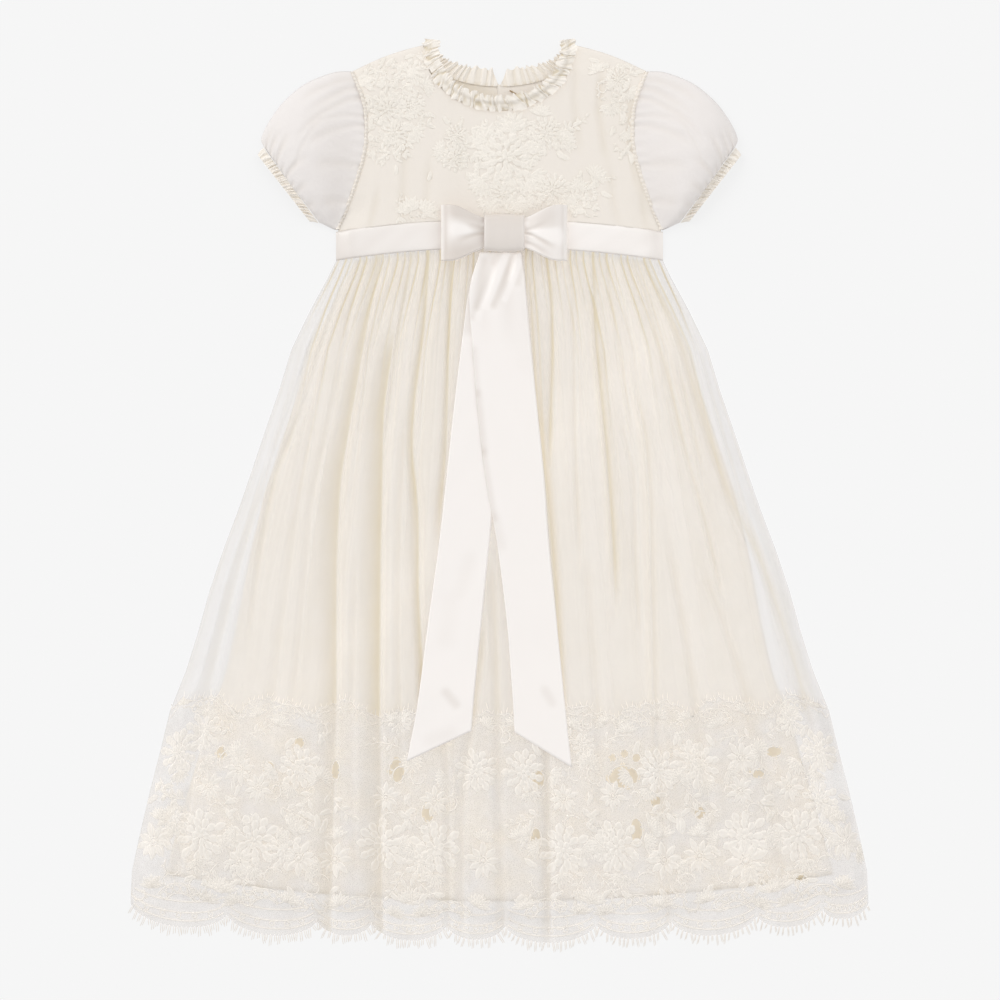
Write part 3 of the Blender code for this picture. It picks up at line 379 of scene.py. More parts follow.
def folds_at(x, y):
    """The share of the folds' height that the creases take away, and the shade painted along them less a
    painted highlight beside each crisp edge.
    """
    taken, dark, bright = np.zeros(x.shape), np.zeros(x.shape), np.zeros(x.shape)
    for fold in FOLDS:
        xs, ys = route_up(fold.route)
        middle = sum(np.interp(y + step, ys, xs) * part for step, part in ((-14, 0.25), (0, 0.5), (14, 0.25)))
        fade = smooth(ys[0] - 22, ys[0] + 34, y)
        fade = fade * (1 - smooth(ys[-1] - 26, ys[-1] + 14, y) * (ys[-1] < 170))
        away = (x - middle) / mix(0.62, 1, smooth(170, -60, y))
        reach = np.maximum(np.where(away < 0, fold.left, fold.right), NARROWEST_SHADE)
        slope = nearness(away, np.maximum(reach, NARROWEST_SLOPE))
        taken = np.maximum(taken, fold.depth * fade * rounded(slope))
        dark = np.maximum(dark, fold.tone * fade * nearness(away, reach) ** 1.2)
        if min(fold.left, fold.right) < 2.1:
            beyond = away if fold.right < fold.left else -away
            bright += EDGE_GLEAM * fade * bell(beyond, 4.2, 3.2)
    return taken, 1.12 * dark - bright


def gathers_at(share, down):
    """Heights of the fine gathers under the waistband, with painted shade in their slits and hollows and a
    painted highlight on their ridges.
    """
    across = WAIST_HALF * (share + FAN * share * (1 - share * share))
    rise, dark = np.zeros(share.shape), np.zeros(share.shape)
    place, turn = -WAIST_HALF + 2, 0
    length_down = np.clip(down, 0, 1) * SKIRT_LENGTH
    while place < WAIST_HALF - 2:
        pitch, depth, length = (table[turn % len(table)] for table in GATHERS)
        lean = 2.2 * math.sin(2.1 * turn) * smooth(0, 80, length_down)
        away = (across - place - lean) * (1 if turn % 3 else -1)
        near = nearness(away, pitch * np.where(away < 0, 0.66, 0.34))
        fade = bell(length_down, 0, length) * (0.5 + 0.5 * smooth(0, 10, length_down))
        slit = bell(away, 0, 0.8) * bell(length_down, 0, 0.6 * length)
        rise -= depth * fade * near ** 1.2
        ridge = fade * bell(away, 1.9, 0.9)
        dark += min(1, depth) * (0.45 * fade * near ** 3 + 0.95 * slit - 0.45 * ridge)
        place += pitch
        turn += 1
    return rise, dark


def streaks_at(share, down):
    """Long low pleats of the tulle that run with the folds, each with one crisp edge, with painted shade
    beside that edge and on their low parts.
    """
    rise = wobble(share * 60 + 1.2 * np.sin(3 * down + 9 * share), 1) * 0.05
    dark = -0.3 * rise
    for pleats, seed, height in ((13, 0, 0.60), (23, 2, 0.08)):
        phase = share * pleats + 0.9 * np.sin(5 * share + seed)
        phase = phase + 0.25 * np.sin(2.2 * down + 7 * share + seed)
        number = np.floor(phase)
        part = phase - number
        length = 0.5 + 0.5 * np.sin(2.4 * number + 3.4 * down + 1.9 * seed)
        shape = smooth(0, 0.8, part) - smooth(0.82, 1, part)
        rise = rise + height * (shape - 0.5) * length
        dark = dark + 0.45 * height * length * (np.clip(1 - part * 1.7, 0, 1) - 0.3)
    strength = smooth(0, 0.2, down) * (1 - 0.45 * smooth(0.25, 0.6, down))
    return rise * strength, dark * strength


def front_surface(share, y, lift=0):
    """Places on the skirt front for a column's share of the width and a height up the gown,
    with the painted shade and highlight of the creases, gathers and pleats there."""
    share, y = np.broadcast_arrays(np.asarray(share, float), np.asarray(y, float))
    down = down_at(share, y)
    x = skirt_x(share, down)[0]
    beside = smooth(0, SEAM_SLOPE, skirt_half(y) - np.abs(x))
    below = smooth(lining_hem(x) - 17, lining_hem(x) - 4, y)
    base = mix(FRONT_AT_SEAM, FRONT_Z, beside * below)
    crest = np.interp(down, FOLD_DOWN, FOLD_CREST)
    taken, dark = folds_at(x, y)
    gather, gather_dark = gathers_at(share, down)
    streak, streak_dark = streaks_at(share, down)
    relief = crest * (1 - taken) + (1 - 0.5 * taken) * (gather + streak)
    z = base + FOLDED_WALL + beside * relief + lift
    tone = dark + (gather_dark + streak_dark) * (1 - 0.6 * dark)
    return np.stack([x, y, z], axis=-1), np.clip(tone, *SHADING_RANGE)


# Meshes

CLOTH_UNIT = 100


def make_piece(name, points, faces, cloth, tone, uv=None, thick=0, replaces=(), shadow=False):
    """One named piece from points in millimetres, riding on the gown."""
    points = np.asarray(points, float)
    mesh = bpy.data.meshes.new(name)
    mesh.from_pydata((points * MM).tolist(), [], faces)
    mesh.validate()
    mesh.shade_smooth()
    # Painted light and shade: each piece carries a shading, painted shade where positive and painted highlight
    # where negative, and the cloth's colour follows it. On sheer cloth it also sets how dense the cloth is.
    mesh.attributes.new("tone", "FLOAT", "POINT").data.foreach_set("value", np.asarray(tone, np.float32))
    uv = points[:, :2] / CLOTH_UNIT if uv is None else uv
    corners = np.empty(len(mesh.loops), np.int32)
    mesh.loops.foreach_get("vertex_index", corners)
    mesh.uv_layers.new(name="cloth").data.foreach_set("uv", np.asarray(uv, np.float32)[corners].ravel())
    mesh.materials.append(cloth.material)
    piece = bpy.data.objects.new(name, mesh)
    bpy.context.scene.collection.objects.link(piece)
    if thick:
        shell = piece.modifiers.new("thickness", "SOLIDIFY")
        shell.thickness = thick * MM
        shell.offset = -1
    piece.visible_shadow = shadow
    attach(piece, "root")
    if replaces:
        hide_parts(*replaces)


def grid_faces(rows, columns, keep=None, closed=False, first=0):
    """Faces of a grid of points that face up when rows run down and columns run right."""
    r, c = np.meshgrid(np.arange(rows - 1), np.arange(columns if closed else columns - 1), indexing="ij")
    there = (c + 1) % columns
    low, high = r * columns, (r + 1) * columns
    quads = np.stack([low + c, high + c, high + there, low + there], -1)
    if keep is not None:
        quads = quads[keep]
    return (quads.reshape(-1, 4) + first).tolist()


def make_grid(name, points, cloth, tone, uv=None, keep=None, closed=False, **words):
    """A piece from a grid of points, or from the grids of its x, y and z."""
    if isinstance(points, tuple):
        points = stacked(*points)
    rows, columns = points.shape[:2]
    uv = points[..., :2] / CLOTH_UNIT if uv is None else uv
    make_piece(name, points.reshape(-1, 3), grid_faces(rows, columns, keep, closed), cloth,
               np.broadcast_to(tone, (rows, columns)).ravel(), uv.reshape(-1, 2), **words)


def make_cover(node, ending, points, cloth, tone, **words):
    """The cloth that is drawn in place of one solid and takes its name."""
    make_grid(f"{node}_{ending}", points, cloth, tone, replaces=(node,), **words)


def cloth_uv(share, y, width=2.7):
    """Cloth coordinates that run with the skirt's columns."""
    return stacked(share * width, y / CLOTH_UNIT)


class Heap:
    """Many small shapes in flat coordinates, joined into one mesh when they are laid down."""

    def __init__(self):
        self.points, self.tones, self.faces, self.count = [], [], [], 0

    def grid(self, points, tone, closed=False):
        rows, columns = points.shape[:2]
        self.faces += grid_faces(rows, columns, None, closed, self.count)
        self.points.append(points.reshape(-1, 3))
        self.tones.append(np.broadcast_to(tone, (rows, columns)).ravel())
        self.count += rows * columns

    def laid(self):
        return np.concatenate(self.points), np.concatenate(self.tones)


# Thread shapes for lace

# Across a blade: its place, its rise, and its painted shading, with shade at the outer edges and down the
# middle and a highlight on the raised cords
BLADE_ACROSS = np.array([1, 0.74, 0.2, -0.2, -0.74, -1])
BLADE_RISE = np.array([0, 0.9, 0.55, 0.55, 0.9, 0])
BLADE_SHADING = np.array([0.4, -0.4, 0.05, 0.05, -0.4, 0.4])


def blade(heap, a, b, angle, length, width, height=0.6, lift=0, round_tip=0, bend=0, teeth=0):
    """A petal or leaf with corded edges and ribs along it."""
    rows = 5
    t = np.linspace(0.03, 1, rows)
    widest = mix(0.85, 1.6, round_tip)
    half = width / 2 * np.maximum(0.04, np.sin(math.pi * t ** widest)) ** mix(0.9, 0.55, round_tip)
    half = half * (1 + teeth * np.where(np.arange(rows) % 2, 0.18, -0.12))
    along = t * length
    across = BLADE_ACROSS[None, :] * half[:, None] + (bend * along * (1 - t) * 1.2)[:, None]
    rise = lift + height * BLADE_RISE[None, :] * np.minimum(1, half[:, None] / (0.3 * width) + 0.3)
    rise[-1] *= 0.5
    tone = np.broadcast_to(BLADE_SHADING[None, :], rise.shape).copy()
    # A painted highlight at the tip
    tone[-1] = -0.3
    cos, sin = math.cos(angle), math.sin(angle)
    points = np.stack([a + along[:, None] * cos - across * sin,
                       b + along[:, None] * sin + across * cos, rise], -1)
    heap.grid(points[:, ::-1], tone[:, ::-1])


def cord(heap, path, radius=0.55, lift=0, tone=-0.25):
    """A raised thread along a path of points in plan."""
    path = np.asarray(path, float)
    step = np.gradient(path, axis=0)
    step /= np.maximum(1e-6, np.linalg.norm(step, axis=1))[:, None]
    side = np.stack([-step[:, 1], step[:, 0]], -1)
    rows = []
    for across, rise in ((1, 0), (0.62, 1.15), (-0.62, 1.15), (-1, 0)):
        place = path + side * across * radius
        rows.append(np.column_stack([place, np.full(len(path), lift + rise * radius)]))
    # Painted shade on the thread's sides and a painted highlight on its top
    heap.grid(np.stack(rows, 0), np.array([0.3, tone, tone, 0.3])[:, None])


def ring(heap, a, b, radius, thread=0.5, lift=0, stretch=1, turn=0):
    angle = np.linspace(0, 2 * math.pi, 13)
    x, y = radius * stretch * np.cos(angle), radius / stretch * np.sin(angle)
    cord(heap, np.column_stack([a + x * math.cos(turn) - y * math.sin(turn),
                                b + x * math.sin(turn) + y * math.cos(turn)]), thread, lift)


def boss(heap, a, b, radius, height=1.4, lift=0):
    """A small domed knot of thread."""
    angle = np.linspace(0, 2 * math.pi, 10, endpoint=False)
    rows = []
    for reach, rise in ((1, 0), (0.85, 0.6), (0.5, 0.95), (0.05, 1)):
        rows.append(np.column_stack([a + radius * reach * np.cos(angle), b + radius * reach * np.sin(angle),
                                     np.full(10, lift + height * rise)]))
    # Painted shade round its foot and a painted highlight on its top
    heap.grid(np.stack(rows, 0), np.array([0.3, 0, -0.2, -0.2])[:, None], closed=True)


def whorl(heap, a, b, size, turn, petals, start, length, width, lift, height=0.6, round_tip=1):
    """A ring of petals of uneven reach."""
    for i in range(petals):
        angle = turn + 2 * math.pi * i / petals + 0.12 * math.sin(5.3 * i + turn)
        reach = 1 + 0.14 * math.sin(2.7 * i + 5 * turn)
        blade(heap, a + start * size * math.cos(angle), b + start * size * math.sin(angle), angle,
              length * size * reach, width * size, height, lift, round_tip)


def rose(heap, a, b, size, turn):
    """Three rings of ribbed petals round a knot."""
    whorl(heap, a, b, size, turn + 0.5, 11, 0.50, 0.50, 0.38, 0, 0.5, 0.8)
    whorl(heap, a, b, size, turn, 9, 0.26, 0.46, 0.34, 0.2, 0.5, 0.8)
    whorl(heap, a, b, size, turn + 0.3, 6, 0.05, 0.34, 0.30, 0.4, 0.5, 0.8)
    boss(heap, a, b, 0.10 * size, 0.6, 0.5)


def bloom(heap, a, b, size, turn):
    """A feathery flower of many narrow raised petals in four rings."""
    whorl(heap, a, b, size, turn, 17, 0.62, 0.40, 0.26, 0, 0.8, 0.7)
    whorl(heap, a, b, size, turn + 0.2, 14, 0.40, 0.38, 0.24, 0.3, 0.8, 0.7)
    whorl(heap, a, b, size, turn + 0.1, 10, 0.20, 0.34, 0.22, 0.6, 0.8, 0.7)
    whorl(heap, a, b, size, turn + 0.4, 6, 0.04, 0.24, 0.18, 0.9, 0.7, 0.7)
    boss(heap, a, b, 0.08 * size, 0.7, 0.9)


def daisy(heap, a, b, size, turn):
    """Pointed petals round a ring."""
    whorl(heap, a, b, size, turn, 9 if size > 9 else 7, 0.18, 0.82, 0.44, 0.15, 0.65, 0.15)
    ring(heap, a, b, 0.2 * size, 0.5, 0.5)
    boss(heap, a, b, 0.12 * size, 0.6, 0.4)


def tuft(heap, a, b, size, turn):
    """A half flower: a fan of narrow petals with a second, shorter row."""
    for petals, reach, lift in ((9, 1, 0), (6, 0.62, 0.4)):
        for i in range(petals):
            angle = turn + mix(-1.25, 1.25, i / (petals - 1))
            long = size * reach * (1 + 0.1 * math.sin(3 * i + turn))
            blade(heap, a, b, angle, long, 0.3 * size, 0.7, lift, 0.7)


def leaf(heap, a, b, size, turn):
    blade(heap, a, b, turn, size, 0.46 * size, 0.8, 0.15, 0.1, 0.25 * math.sin(3 * turn), 1)


def spray(heap, a, b, size, turn):
    """A bent stem with leaves on both sides and buds at its end."""
    t = np.linspace(0, 1, 12)
    bend = 0.8 * math.sin(5 * turn + 1)
    angle = turn + bend * t
    steps = np.column_stack([np.cos(angle), np.sin(angle)]) * size / 11
    path = np.array([a, b]) + np.vstack([[0, 0], np.cumsum(steps[:-1], axis=0)])
    cord(heap, path, 0.5, 0.2)
    for i in range(1, 11, 2):
        side = 1 if (i // 2) % 2 else -1
        leaf_size = size * mix(0.36, 0.22, i / 10)
        blade(heap, path[i, 0], path[i, 1], angle[i] + side * 0.95, leaf_size, 0.5 * leaf_size, 0.7, 0.2, 0.4)
    blade(heap, path[-1, 0], path[-1, 1], angle[-1], size * 0.24, size * 0.13, 0.7, 0.2, 0.5)


def scroll(heap, a, b, size, turn):
    """A curled tendril with small buds on its outside."""
    t = np.linspace(0, 1, 26)
    angle = turn + 4.6 * t
    reach = size * (1 - 0.82 * t)
    path = np.column_stack([a + reach * np.cos(angle), b + reach * np.sin(angle)])
    cord(heap, path, 0.6, 0.15)
    for i in (3, 7, 11, 15):
        blade(heap, path[i, 0], path[i, 1], angle[i] + 0.35, size * 0.28, size * 0.2, 0.7, 0.1, 0.8)


def fan(heap, a, b, size, turn):
    """An arc of eyelets between two threads."""
    for reach in (0.62, 1):
        angle = turn + np.linspace(-1.05, 1.05, 16)
        x, y = reach * size * np.cos(angle), reach * size * np.sin(angle)
        cord(heap, np.column_stack([a + x, b + y]), 0.5, 0.15)
    for i in range(6):
        angle = turn + mix(-0.92, 0.92, i / 5)
        x, y = 0.81 * size * math.cos(angle), 0.81 * size * math.sin(angle)
        ring(heap, a + x, b + y, 0.135 * size, 0.4, 0.1)


def sprig(heap, a, b, size, turn):
    """Four short petals that spread from one stitch."""
    for i in range(4):
        angle = turn + mix(-0.9, 0.9, i / 3) + 0.3 * math.sin(4 * turn + i)
        long = size * (0.8 + 0.25 * math.sin(2 * i + 3 * turn))
        blade(heap, a, b, angle, long, 0.42 * size, 0.9, 0.3 * (i % 2), 0.8)


KINDS = {kind.__name__: kind for kind in (sprig, rose, bloom, daisy, tuft, leaf, spray, scroll, fan)}

# One repeat of the lace border, across from a scallop's middle and up from the hem
LACE_REPEAT = [Motif(*row) for row in (
    ("fan", 0, 137, 17, 1.57), ("rose", -17, 112, 16.5, 0.3), ("spray", -28, 94, 26, -1.1),
    ("spray", 27, 130, 22, 2.6), ("leaf", -2, 124, 12, 2.2), ("leaf", -31, 126, 11.5, 2),
    ("scroll", 26, 108, 10, 1.2), ("scroll", -31, 141, 7, 4), ("daisy", 15, 92, 11, 0.4),
    ("leaf", 27, 84, 12, -0.5), ("rose", 14, 56, 19.5, 0.8), ("spray", -4, 80, 24, 3.5),
    ("daisy", -21, 46, 13.5, 0.1), ("leaf", -6, 44, 12, 2.4), ("leaf", -33, 64, 13, 1.4),
    ("scroll", -3, 30, 9, 2.4), ("spray", 31, 38, 22, -2.2), ("leaf", 30, 68, 11.5, 0.9),
    ("scroll", -33, 26, 8.5, 0.2), ("fan", 2, 0, 19, 1.57), ("tuft", 32, 16, 10, 1.5),
    ("leaf", -14, 24, 10, -2.4), ("leaf", 20, 24, 10, -0.8), ("scroll", 34, 148, 6, 0.9),
    ("tuft", -12, 66, 10, 2.7), ("tuft", 4, 108, 10, -0.6), ("leaf", -24, 80, 11, -2.6),
    ("leaf", 36, 96, 10, -1.9), ("tuft", 3, 140, 9, 1.6), ("tuft", 22, 146, 8, 1.1),
    ("tuft", -22, 147, 8, 2), ("tuft", -34, 104, 10, 2.6), ("tuft", 33, 118, 10, 0.4),
    ("scroll", 2, 92, 8, 5), ("tuft", -12, 98, 9, -1.2), ("tuft", 28, 56, 10, -0.3),
    ("tuft", -20, 62, 9, 1.7), ("scroll", 20, 74, 8, 0.4), ("tuft", -6, 56, 9, 2.9),
    ("tuft", 12, 36, 10, -1.4), ("tuft", -30, 38, 9, 3.4), ("scroll", 14, 16, 8, 1.8),
    ("tuft", -16, 12, 10, 1.9), ("scroll", -28, 10, 8, 3), ("tuft", 24, 6, 9, 1.3),
    ("leaf", 4, 20, 10, 0.3),
)]

# Larger flowers, given one by one in the view, over the repeat
LACE_BY_HAND = [Motif(*row) for row in (
    ("daisy", 240, 768, 12, 0.2), ("daisy", 240, 860, 11, 0.5), ("daisy", 740, 757, 13, 0.1),
    ("daisy", 745, 860, 17, 0.3), ("rose", 205, 730, 16, 0.2), ("rose", 285, 850, 15, 0.9),
    ("rose", 420, 860, 14, 0.4), ("rose", 400, 720, 10, 0.1), ("rose", 604, 846, 12, 0),
    ("rose", 583, 745, 9, 0.7), ("rose", 690, 760, 15, 0.5), ("rose", 790, 720, 12, 0.2),
    ("rose", 820, 800, 15, 0.6), ("rose", 175, 820, 13, 0.6),
)]

# Openings in the net, by their places and half sizes in the view
LACE_HOLES = [Hole(*row) for row in (
    (623, 776, 15, 11), (537, 779, 7, 9), (397, 770, 8, 11), (269, 767, 6, 6), (773, 751, 8, 5),
    (757, 773, 7, 4), (556, 742, 5, 4), (612, 757, 4, 4), (624, 753, 4, 4), (636, 757, 4, 4),
    (222, 752, 5, 6), (300, 742, 5, 5), (428, 812, 6, 9), (536, 838, 5, 10), (636, 830, 6, 12),
    (700, 812, 6, 6), (300, 905, 8, 5), (410, 925, 7, 6), (560, 922, 7, 6), (640, 925, 8, 6),
    (250, 895, 6, 5), (720, 905, 8, 5), (800, 880, 6, 6), (835, 850, 5, 8), (170, 880, 5, 6),
    (336, 770, 4, 9), (655, 800, 5, 7), (805, 765, 5, 8),
)]

# Where smooth folds of plain tulle lie over the lace: left, right, top and bottom in the view
SMOOTH_FOLDS = ((341, 377, 690, 900), (450, 475, 735, 915), (488, 519, 735, 915))

# Flowers sewn on the bodice, by their places in the view
SPRAYS = [Motif(*row) for row in (
    ("bloom", 505, 158, 24, 0.2), ("tuft", 512, 132, 15, 1.7), ("tuft", 486, 140, 13, 2.4),
    ("tuft", 530, 178, 13, -0.6), ("tuft", 484, 182, 13, 3.9), ("bloom", 503, 195, 10, 0.9),
    ("tuft", 520, 202, 10, -1.4), ("tuft", 489, 203, 9, 4.5), ("bloom", 545, 134, 13, 0.5),
    ("tuft", 562, 142, 11, 0.3), ("leaf", 556, 152, 12, -0.5), ("leaf", 572, 128, 9, 0.5),
    ("spray", 562, 132, 20, 0.25), ("tuft", 540, 116, 9, 1.4), ("bloom", 552, 190, 12.5, 0.3),
    ("tuft", 566, 200, 10, -0.8), ("tuft", 536, 200, 8, 3.9), ("spray", 570, 216, 30, 1.05),
    ("tuft", 594, 178, 10, 1), ("spray", 590, 186, 17, 0.7), ("leaf", 600, 192, 10, -0.4),
    ("tuft", 578, 190, 9, 1.9), ("bloom", 457, 137, 9, 0.1), ("leaf", 450, 126, 9, 2.2),
    ("bloom", 455, 158, 11, 0.6), ("tuft", 444, 152, 9, 2.9), ("leaf", 466, 172, 9, -0.9),
    ("tuft", 411, 212, 11, 1.9), ("tuft", 425, 214, 11, 0.9), ("spray", 402, 216, 14, 2),
    ("leaf", 428, 182, 8, 1.3), ("leaf", 396, 176, 8, 1.6), ("bloom", 388, 110, 14, 0.4),
    ("bloom", 411, 106, 11, 0.1), ("bloom", 394, 134, 11, 0.7), ("tuft", 412, 132, 10, -0.7),
    ("tuft", 372, 126, 8, 2.8), ("scroll", 380, 82, 8, 0.8), ("scroll", 396, 74, 9, 2.6),
    ("rose", 412, 74, 11, 0.6), ("tuft", 366, 86, 9, 2), ("tuft", 424, 88, 9, 0.2),
    ("scroll", 398, 92, 7, 4), ("leaf", 404, 60, 9, 0.4), ("leaf", 386, 68, 9, 0.9),
    ("tuft", 424, 62, 8, 1.2), ("leaf", 372, 150, 9, -1.4), ("bloom", 617, 80, 9, 0),
    ("tuft", 628, 92, 8, -0.6), ("scroll", 604, 90, 7, 1), ("tuft", 610, 106, 9, -1.7),
    ("leaf", 622, 110, 11, -1.6), ("tuft", 626, 132, 8, -1.3), ("leaf", 614, 126, 9, -1.9),
    ("leaf", 630, 152, 10, -1.5), ("leaf", 600, 62, 9, 2.9), ("tuft", 598, 72, 8, 2.2),
    ("leaf", 634, 74, 8, 0.2),
)]

# Patches of the bodice filled with small stitched petals: place, half sizes, number, size
PATCHES = [Patch(*row) for row in (
    (394, 82, 34, 22, 46, 6.5), (394, 120, 36, 26, 56, 6.5), (386, 152, 22, 12, 18, 6),
    (505, 150, 36, 34, 60, 7), (506, 196, 26, 20, 34, 6.5), (546, 138, 26, 18, 26, 6.5),
    (553, 194, 22, 14, 22, 6), (616, 86, 18, 26, 26, 6), (624, 134, 10, 30, 18, 5.5),
    (456, 146, 14, 26, 20, 5.5), (416, 213, 20, 8, 12, 6), (582, 200, 18, 22, 20, 6),
)]


# Materials

def new_material(name):
    material = bpy.data.materials.new(name)
    material.use_nodes = True
    tree = material.node_tree
    return material, tree, tree.nodes["Principled BSDF"]


def set_inputs(tree, node, inputs):
    """Values for a node's inputs, or links from other nodes."""
    for key, value in inputs.items():
        if isinstance(value, bpy.types.NodeSocket):
            tree.links.new(value, node.inputs[key])
        else:
            node.inputs[key].default_value = value


def add(tree, kind, inputs, **settings):
    node = tree.nodes.new(kind)
    for key, value in settings.items():
        setattr(node, key, value)
    set_inputs(tree, node, inputs)
    return node


def sum_of(tree, operation, first, second, clamp=False):
    return add(tree, "ShaderNodeMath", {0: first, 1: second}, operation=operation, use_clamp=clamp).outputs[0]


def varied(tree, value, pattern, strength):
    """A value with a pattern from 0 to 1 added as a change around zero."""
    change = sum_of(tree, "MULTIPLY", sum_of(tree, "SUBTRACT", pattern, 0.5), strength)
    return sum_of(tree, "ADD", value, change)


def noise(tree, place, scale, detail=3, stretch=(1, 1, 1)):
    mapping = add(tree, "ShaderNodeMapping", {"Scale": stretch, "Vector": place})
    inputs = {"Scale": scale, "Detail": detail, "Vector": mapping.outputs[0]}
    return add(tree, "ShaderNodeTexNoise", inputs).outputs["Fac"]


def threads(tree, place, scale, direction):
    inputs = {"Scale": scale, "Distortion": 0.6, "Detail Scale": 2, "Vector": place}
    return add(tree, "ShaderNodeTexWave", inputs, bands_direction=direction).outputs["Fac"]


def bump(tree, height, distance, under=None):
    """The normal over a relief, on top of another one."""
    inputs = {"Distance": distance, "Height": height}
    if under is not None:
        inputs["Normal"] = under
    return add(tree, "ShaderNodeBump", inputs).outputs[0]


def ramp(tree, factor, stops):
    """A colour that follows a factor through stops from 0 to 1."""
    node = add(tree, "ShaderNodeValToRGB", {"Fac": factor})
    elements = node.color_ramp.elements
    elements[0].color, elements[1].color = (*stops[0][1], 1), (*stops[-1][1], 1)
    for place, colour in stops[1:-1]:
        elements.new(place).color = (*colour, 1)
    return node.outputs["Color"]


# A cloth's colour runs from its painted highlight at a shading of -0.4 over its plain at 0 to its painted
# shade at 1
SHADING_BELOW_PLAIN = 0.4
PLAIN_PLACE = 0.2857
PATCH_SCALE, STREAK_SCALE, CLOUD_SCALE = 55, 34, 50
STREAK_STRETCH = (1, 0.035, 1)
STREAK_RELIEF = 0.00012
NET_THREAD, NET_CONTRAST = 0.16, 0.14
LEAST_OPACITY = 0.05


def cloth_material(slot, name, plain, shade_colour, roughness, sheen, weave=450, weave_depth=0.00004, streak=0,
                   mottle=0.05, opacity=None, fade=0.3, net=0, cloud=0, gleam=1.02, uneven=0.0002,
                   uneven_scale=220):
    """Woven cloth whose colour runs from a painted highlight to a painted shade as its shading rises, with
    threads, an uneven surface, long streaks where the cloth hangs in folds with a low relief and painted
    shade, and an opacity where it is sheer that follows the shading too."""
    material, tree, shader = new_material(name)
    places = add(tree, "ShaderNodeTexCoord", {}).outputs
    place, cloth_place = places["Object"], places["UV"]
    tone = add(tree, "ShaderNodeAttribute", {}, attribute_name="tone").outputs["Fac"]
    factor = varied(tree, tone, noise(tree, place, PATCH_SCALE), mottle * 4)
    weave_height = sum_of(tree, "MAXIMUM", threads(tree, place, weave, "X"), threads(tree, place, weave, "Y"))
    normal = bump(tree, weave_height, weave_depth)
    normal = bump(tree, noise(tree, place, uneven_scale, 4), uneven, normal)
    if streak:
        lines = noise(tree, cloth_place, STREAK_SCALE, 4, STREAK_STRETCH)
        factor = varied(tree, factor, lines, streak)
        normal = bump(tree, lines, STREAK_RELIEF, normal)
    factor = sum_of(tree, "ADD", factor, SHADING_BELOW_PLAIN)
    factor = sum_of(tree, "DIVIDE", factor, 1 + SHADING_BELOW_PLAIN, clamp=True)
    light = [min(1, c * gleam) for c in plain]
    colour = ramp(tree, factor, ((0, light), (PLAIN_PLACE, plain), (1, shade_colour)))
    set_inputs(tree, shader, {"Base Color": colour, "Roughness": roughness, "Sheen Weight": sheen,
                              "Normal": normal})
    if opacity is not None:
        solid = sum_of(tree, "ADD", opacity, sum_of(tree, "MULTIPLY", tone, fade))
        if cloud:
            solid = varied(tree, solid, noise(tree, place, CLOUD_SCALE, 2), cloud)
        if net:
            cells = add(tree, "ShaderNodeTexVoronoi", {"Scale": net, "Vector": cloth_place},
                        feature="DISTANCE_TO_EDGE")
            thread = sum_of(tree, "LESS_THAN", cells.outputs["Distance"], NET_THREAD)
            solid = varied(tree, solid, thread, NET_CONTRAST)
        solid = sum_of(tree, "MINIMUM", sum_of(tree, "MAXIMUM", solid, LEAST_OPACITY), 1)
        set_inputs(tree, shader, {"Alpha": solid})
    return Cloth(material, slot)


# Each cloth's second colour is its painted shade, and gleam lifts its painted highlight above the plain colour
TULLE = cloth_material("sheer", "tulle", (0.79, 0.775, 0.775), (0.70, 0.62, 0.47), 0.85, 0.1, weave=420,
                       streak=0.05, opacity=0.46, fade=0.45, gleam=1.09)
NET = cloth_material("lace", "lace_net", (0.785, 0.764, 0.75), (0.68, 0.62, 0.53), 0.9, 0.1, streak=0.06,
                     opacity=0.55, net=90, mottle=0.12, cloud=0.9)
APPLIQUE = cloth_material("lace", "applique", (0.868, 0.82, 0.752), (0.70, 0.64, 0.53), 0.85, 0.1, weave=900,
                          weave_depth=0.00003, uneven=0.0006, uneven_scale=450, mottle=0.2, gleam=1.05)
LACE = cloth_material("lace", "lace_thread", (0.85, 0.81, 0.757), (0.73, 0.675, 0.59), 0.85, 0.1, weave=900,
                      weave_depth=0.00003, uneven_scale=600, opacity=0.72, fade=-0.45, gleam=1.06,
                      mottle=0.15, cloud=0.5)
THREAD = cloth_material("lace", "hem_thread", (0.87, 0.83, 0.79), (0.72, 0.67, 0.61), 0.85, 0.1, weave=900)
LINING = cloth_material("lining", "lining", (0.84, 0.785, 0.70), (0.66, 0.58, 0.44), 0.7, 0.1, weave=380,
                        streak=0.06)
BODICE = cloth_material("bodice", "bodice", (0.832, 0.777, 0.712), (0.70, 0.63, 0.52), 0.8, 0.15, weave=380)
SATIN = cloth_material("satin", "satin", (0.905, 0.865, 0.835), (0.70, 0.64, 0.59), 0.30, 0.05, weave=700,
                       weave_depth=0.00001, uneven=0.0001, uneven_scale=60, mottle=0.015)
GEORGETTE = cloth_material("sheer", "georgette", (0.812, 0.772, 0.75), (0.73, 0.665, 0.59), 0.85, 0.2,
                           weave=500, uneven=0.0003)
RUFFLE = cloth_material("sheer", "ruffle", (0.88, 0.83, 0.765), (0.68, 0.60, 0.47), 0.85, 0.15, weave=500,
                        gleam=1.06)


def metal_material():
    material, tree, shader = new_material("hook_wire")
    grain = noise(tree, add(tree, "ShaderNodeTexCoord", {}).outputs["Object"], 900)
    colour = ramp(tree, grain, ((0, (0.42, 0.30, 0.18)), (1, (0.58, 0.45, 0.30))))
    set_inputs(tree, shader, {"Base Color": colour, "Metallic": 1, "Roughness": 0.35})
    return material


# Skirt

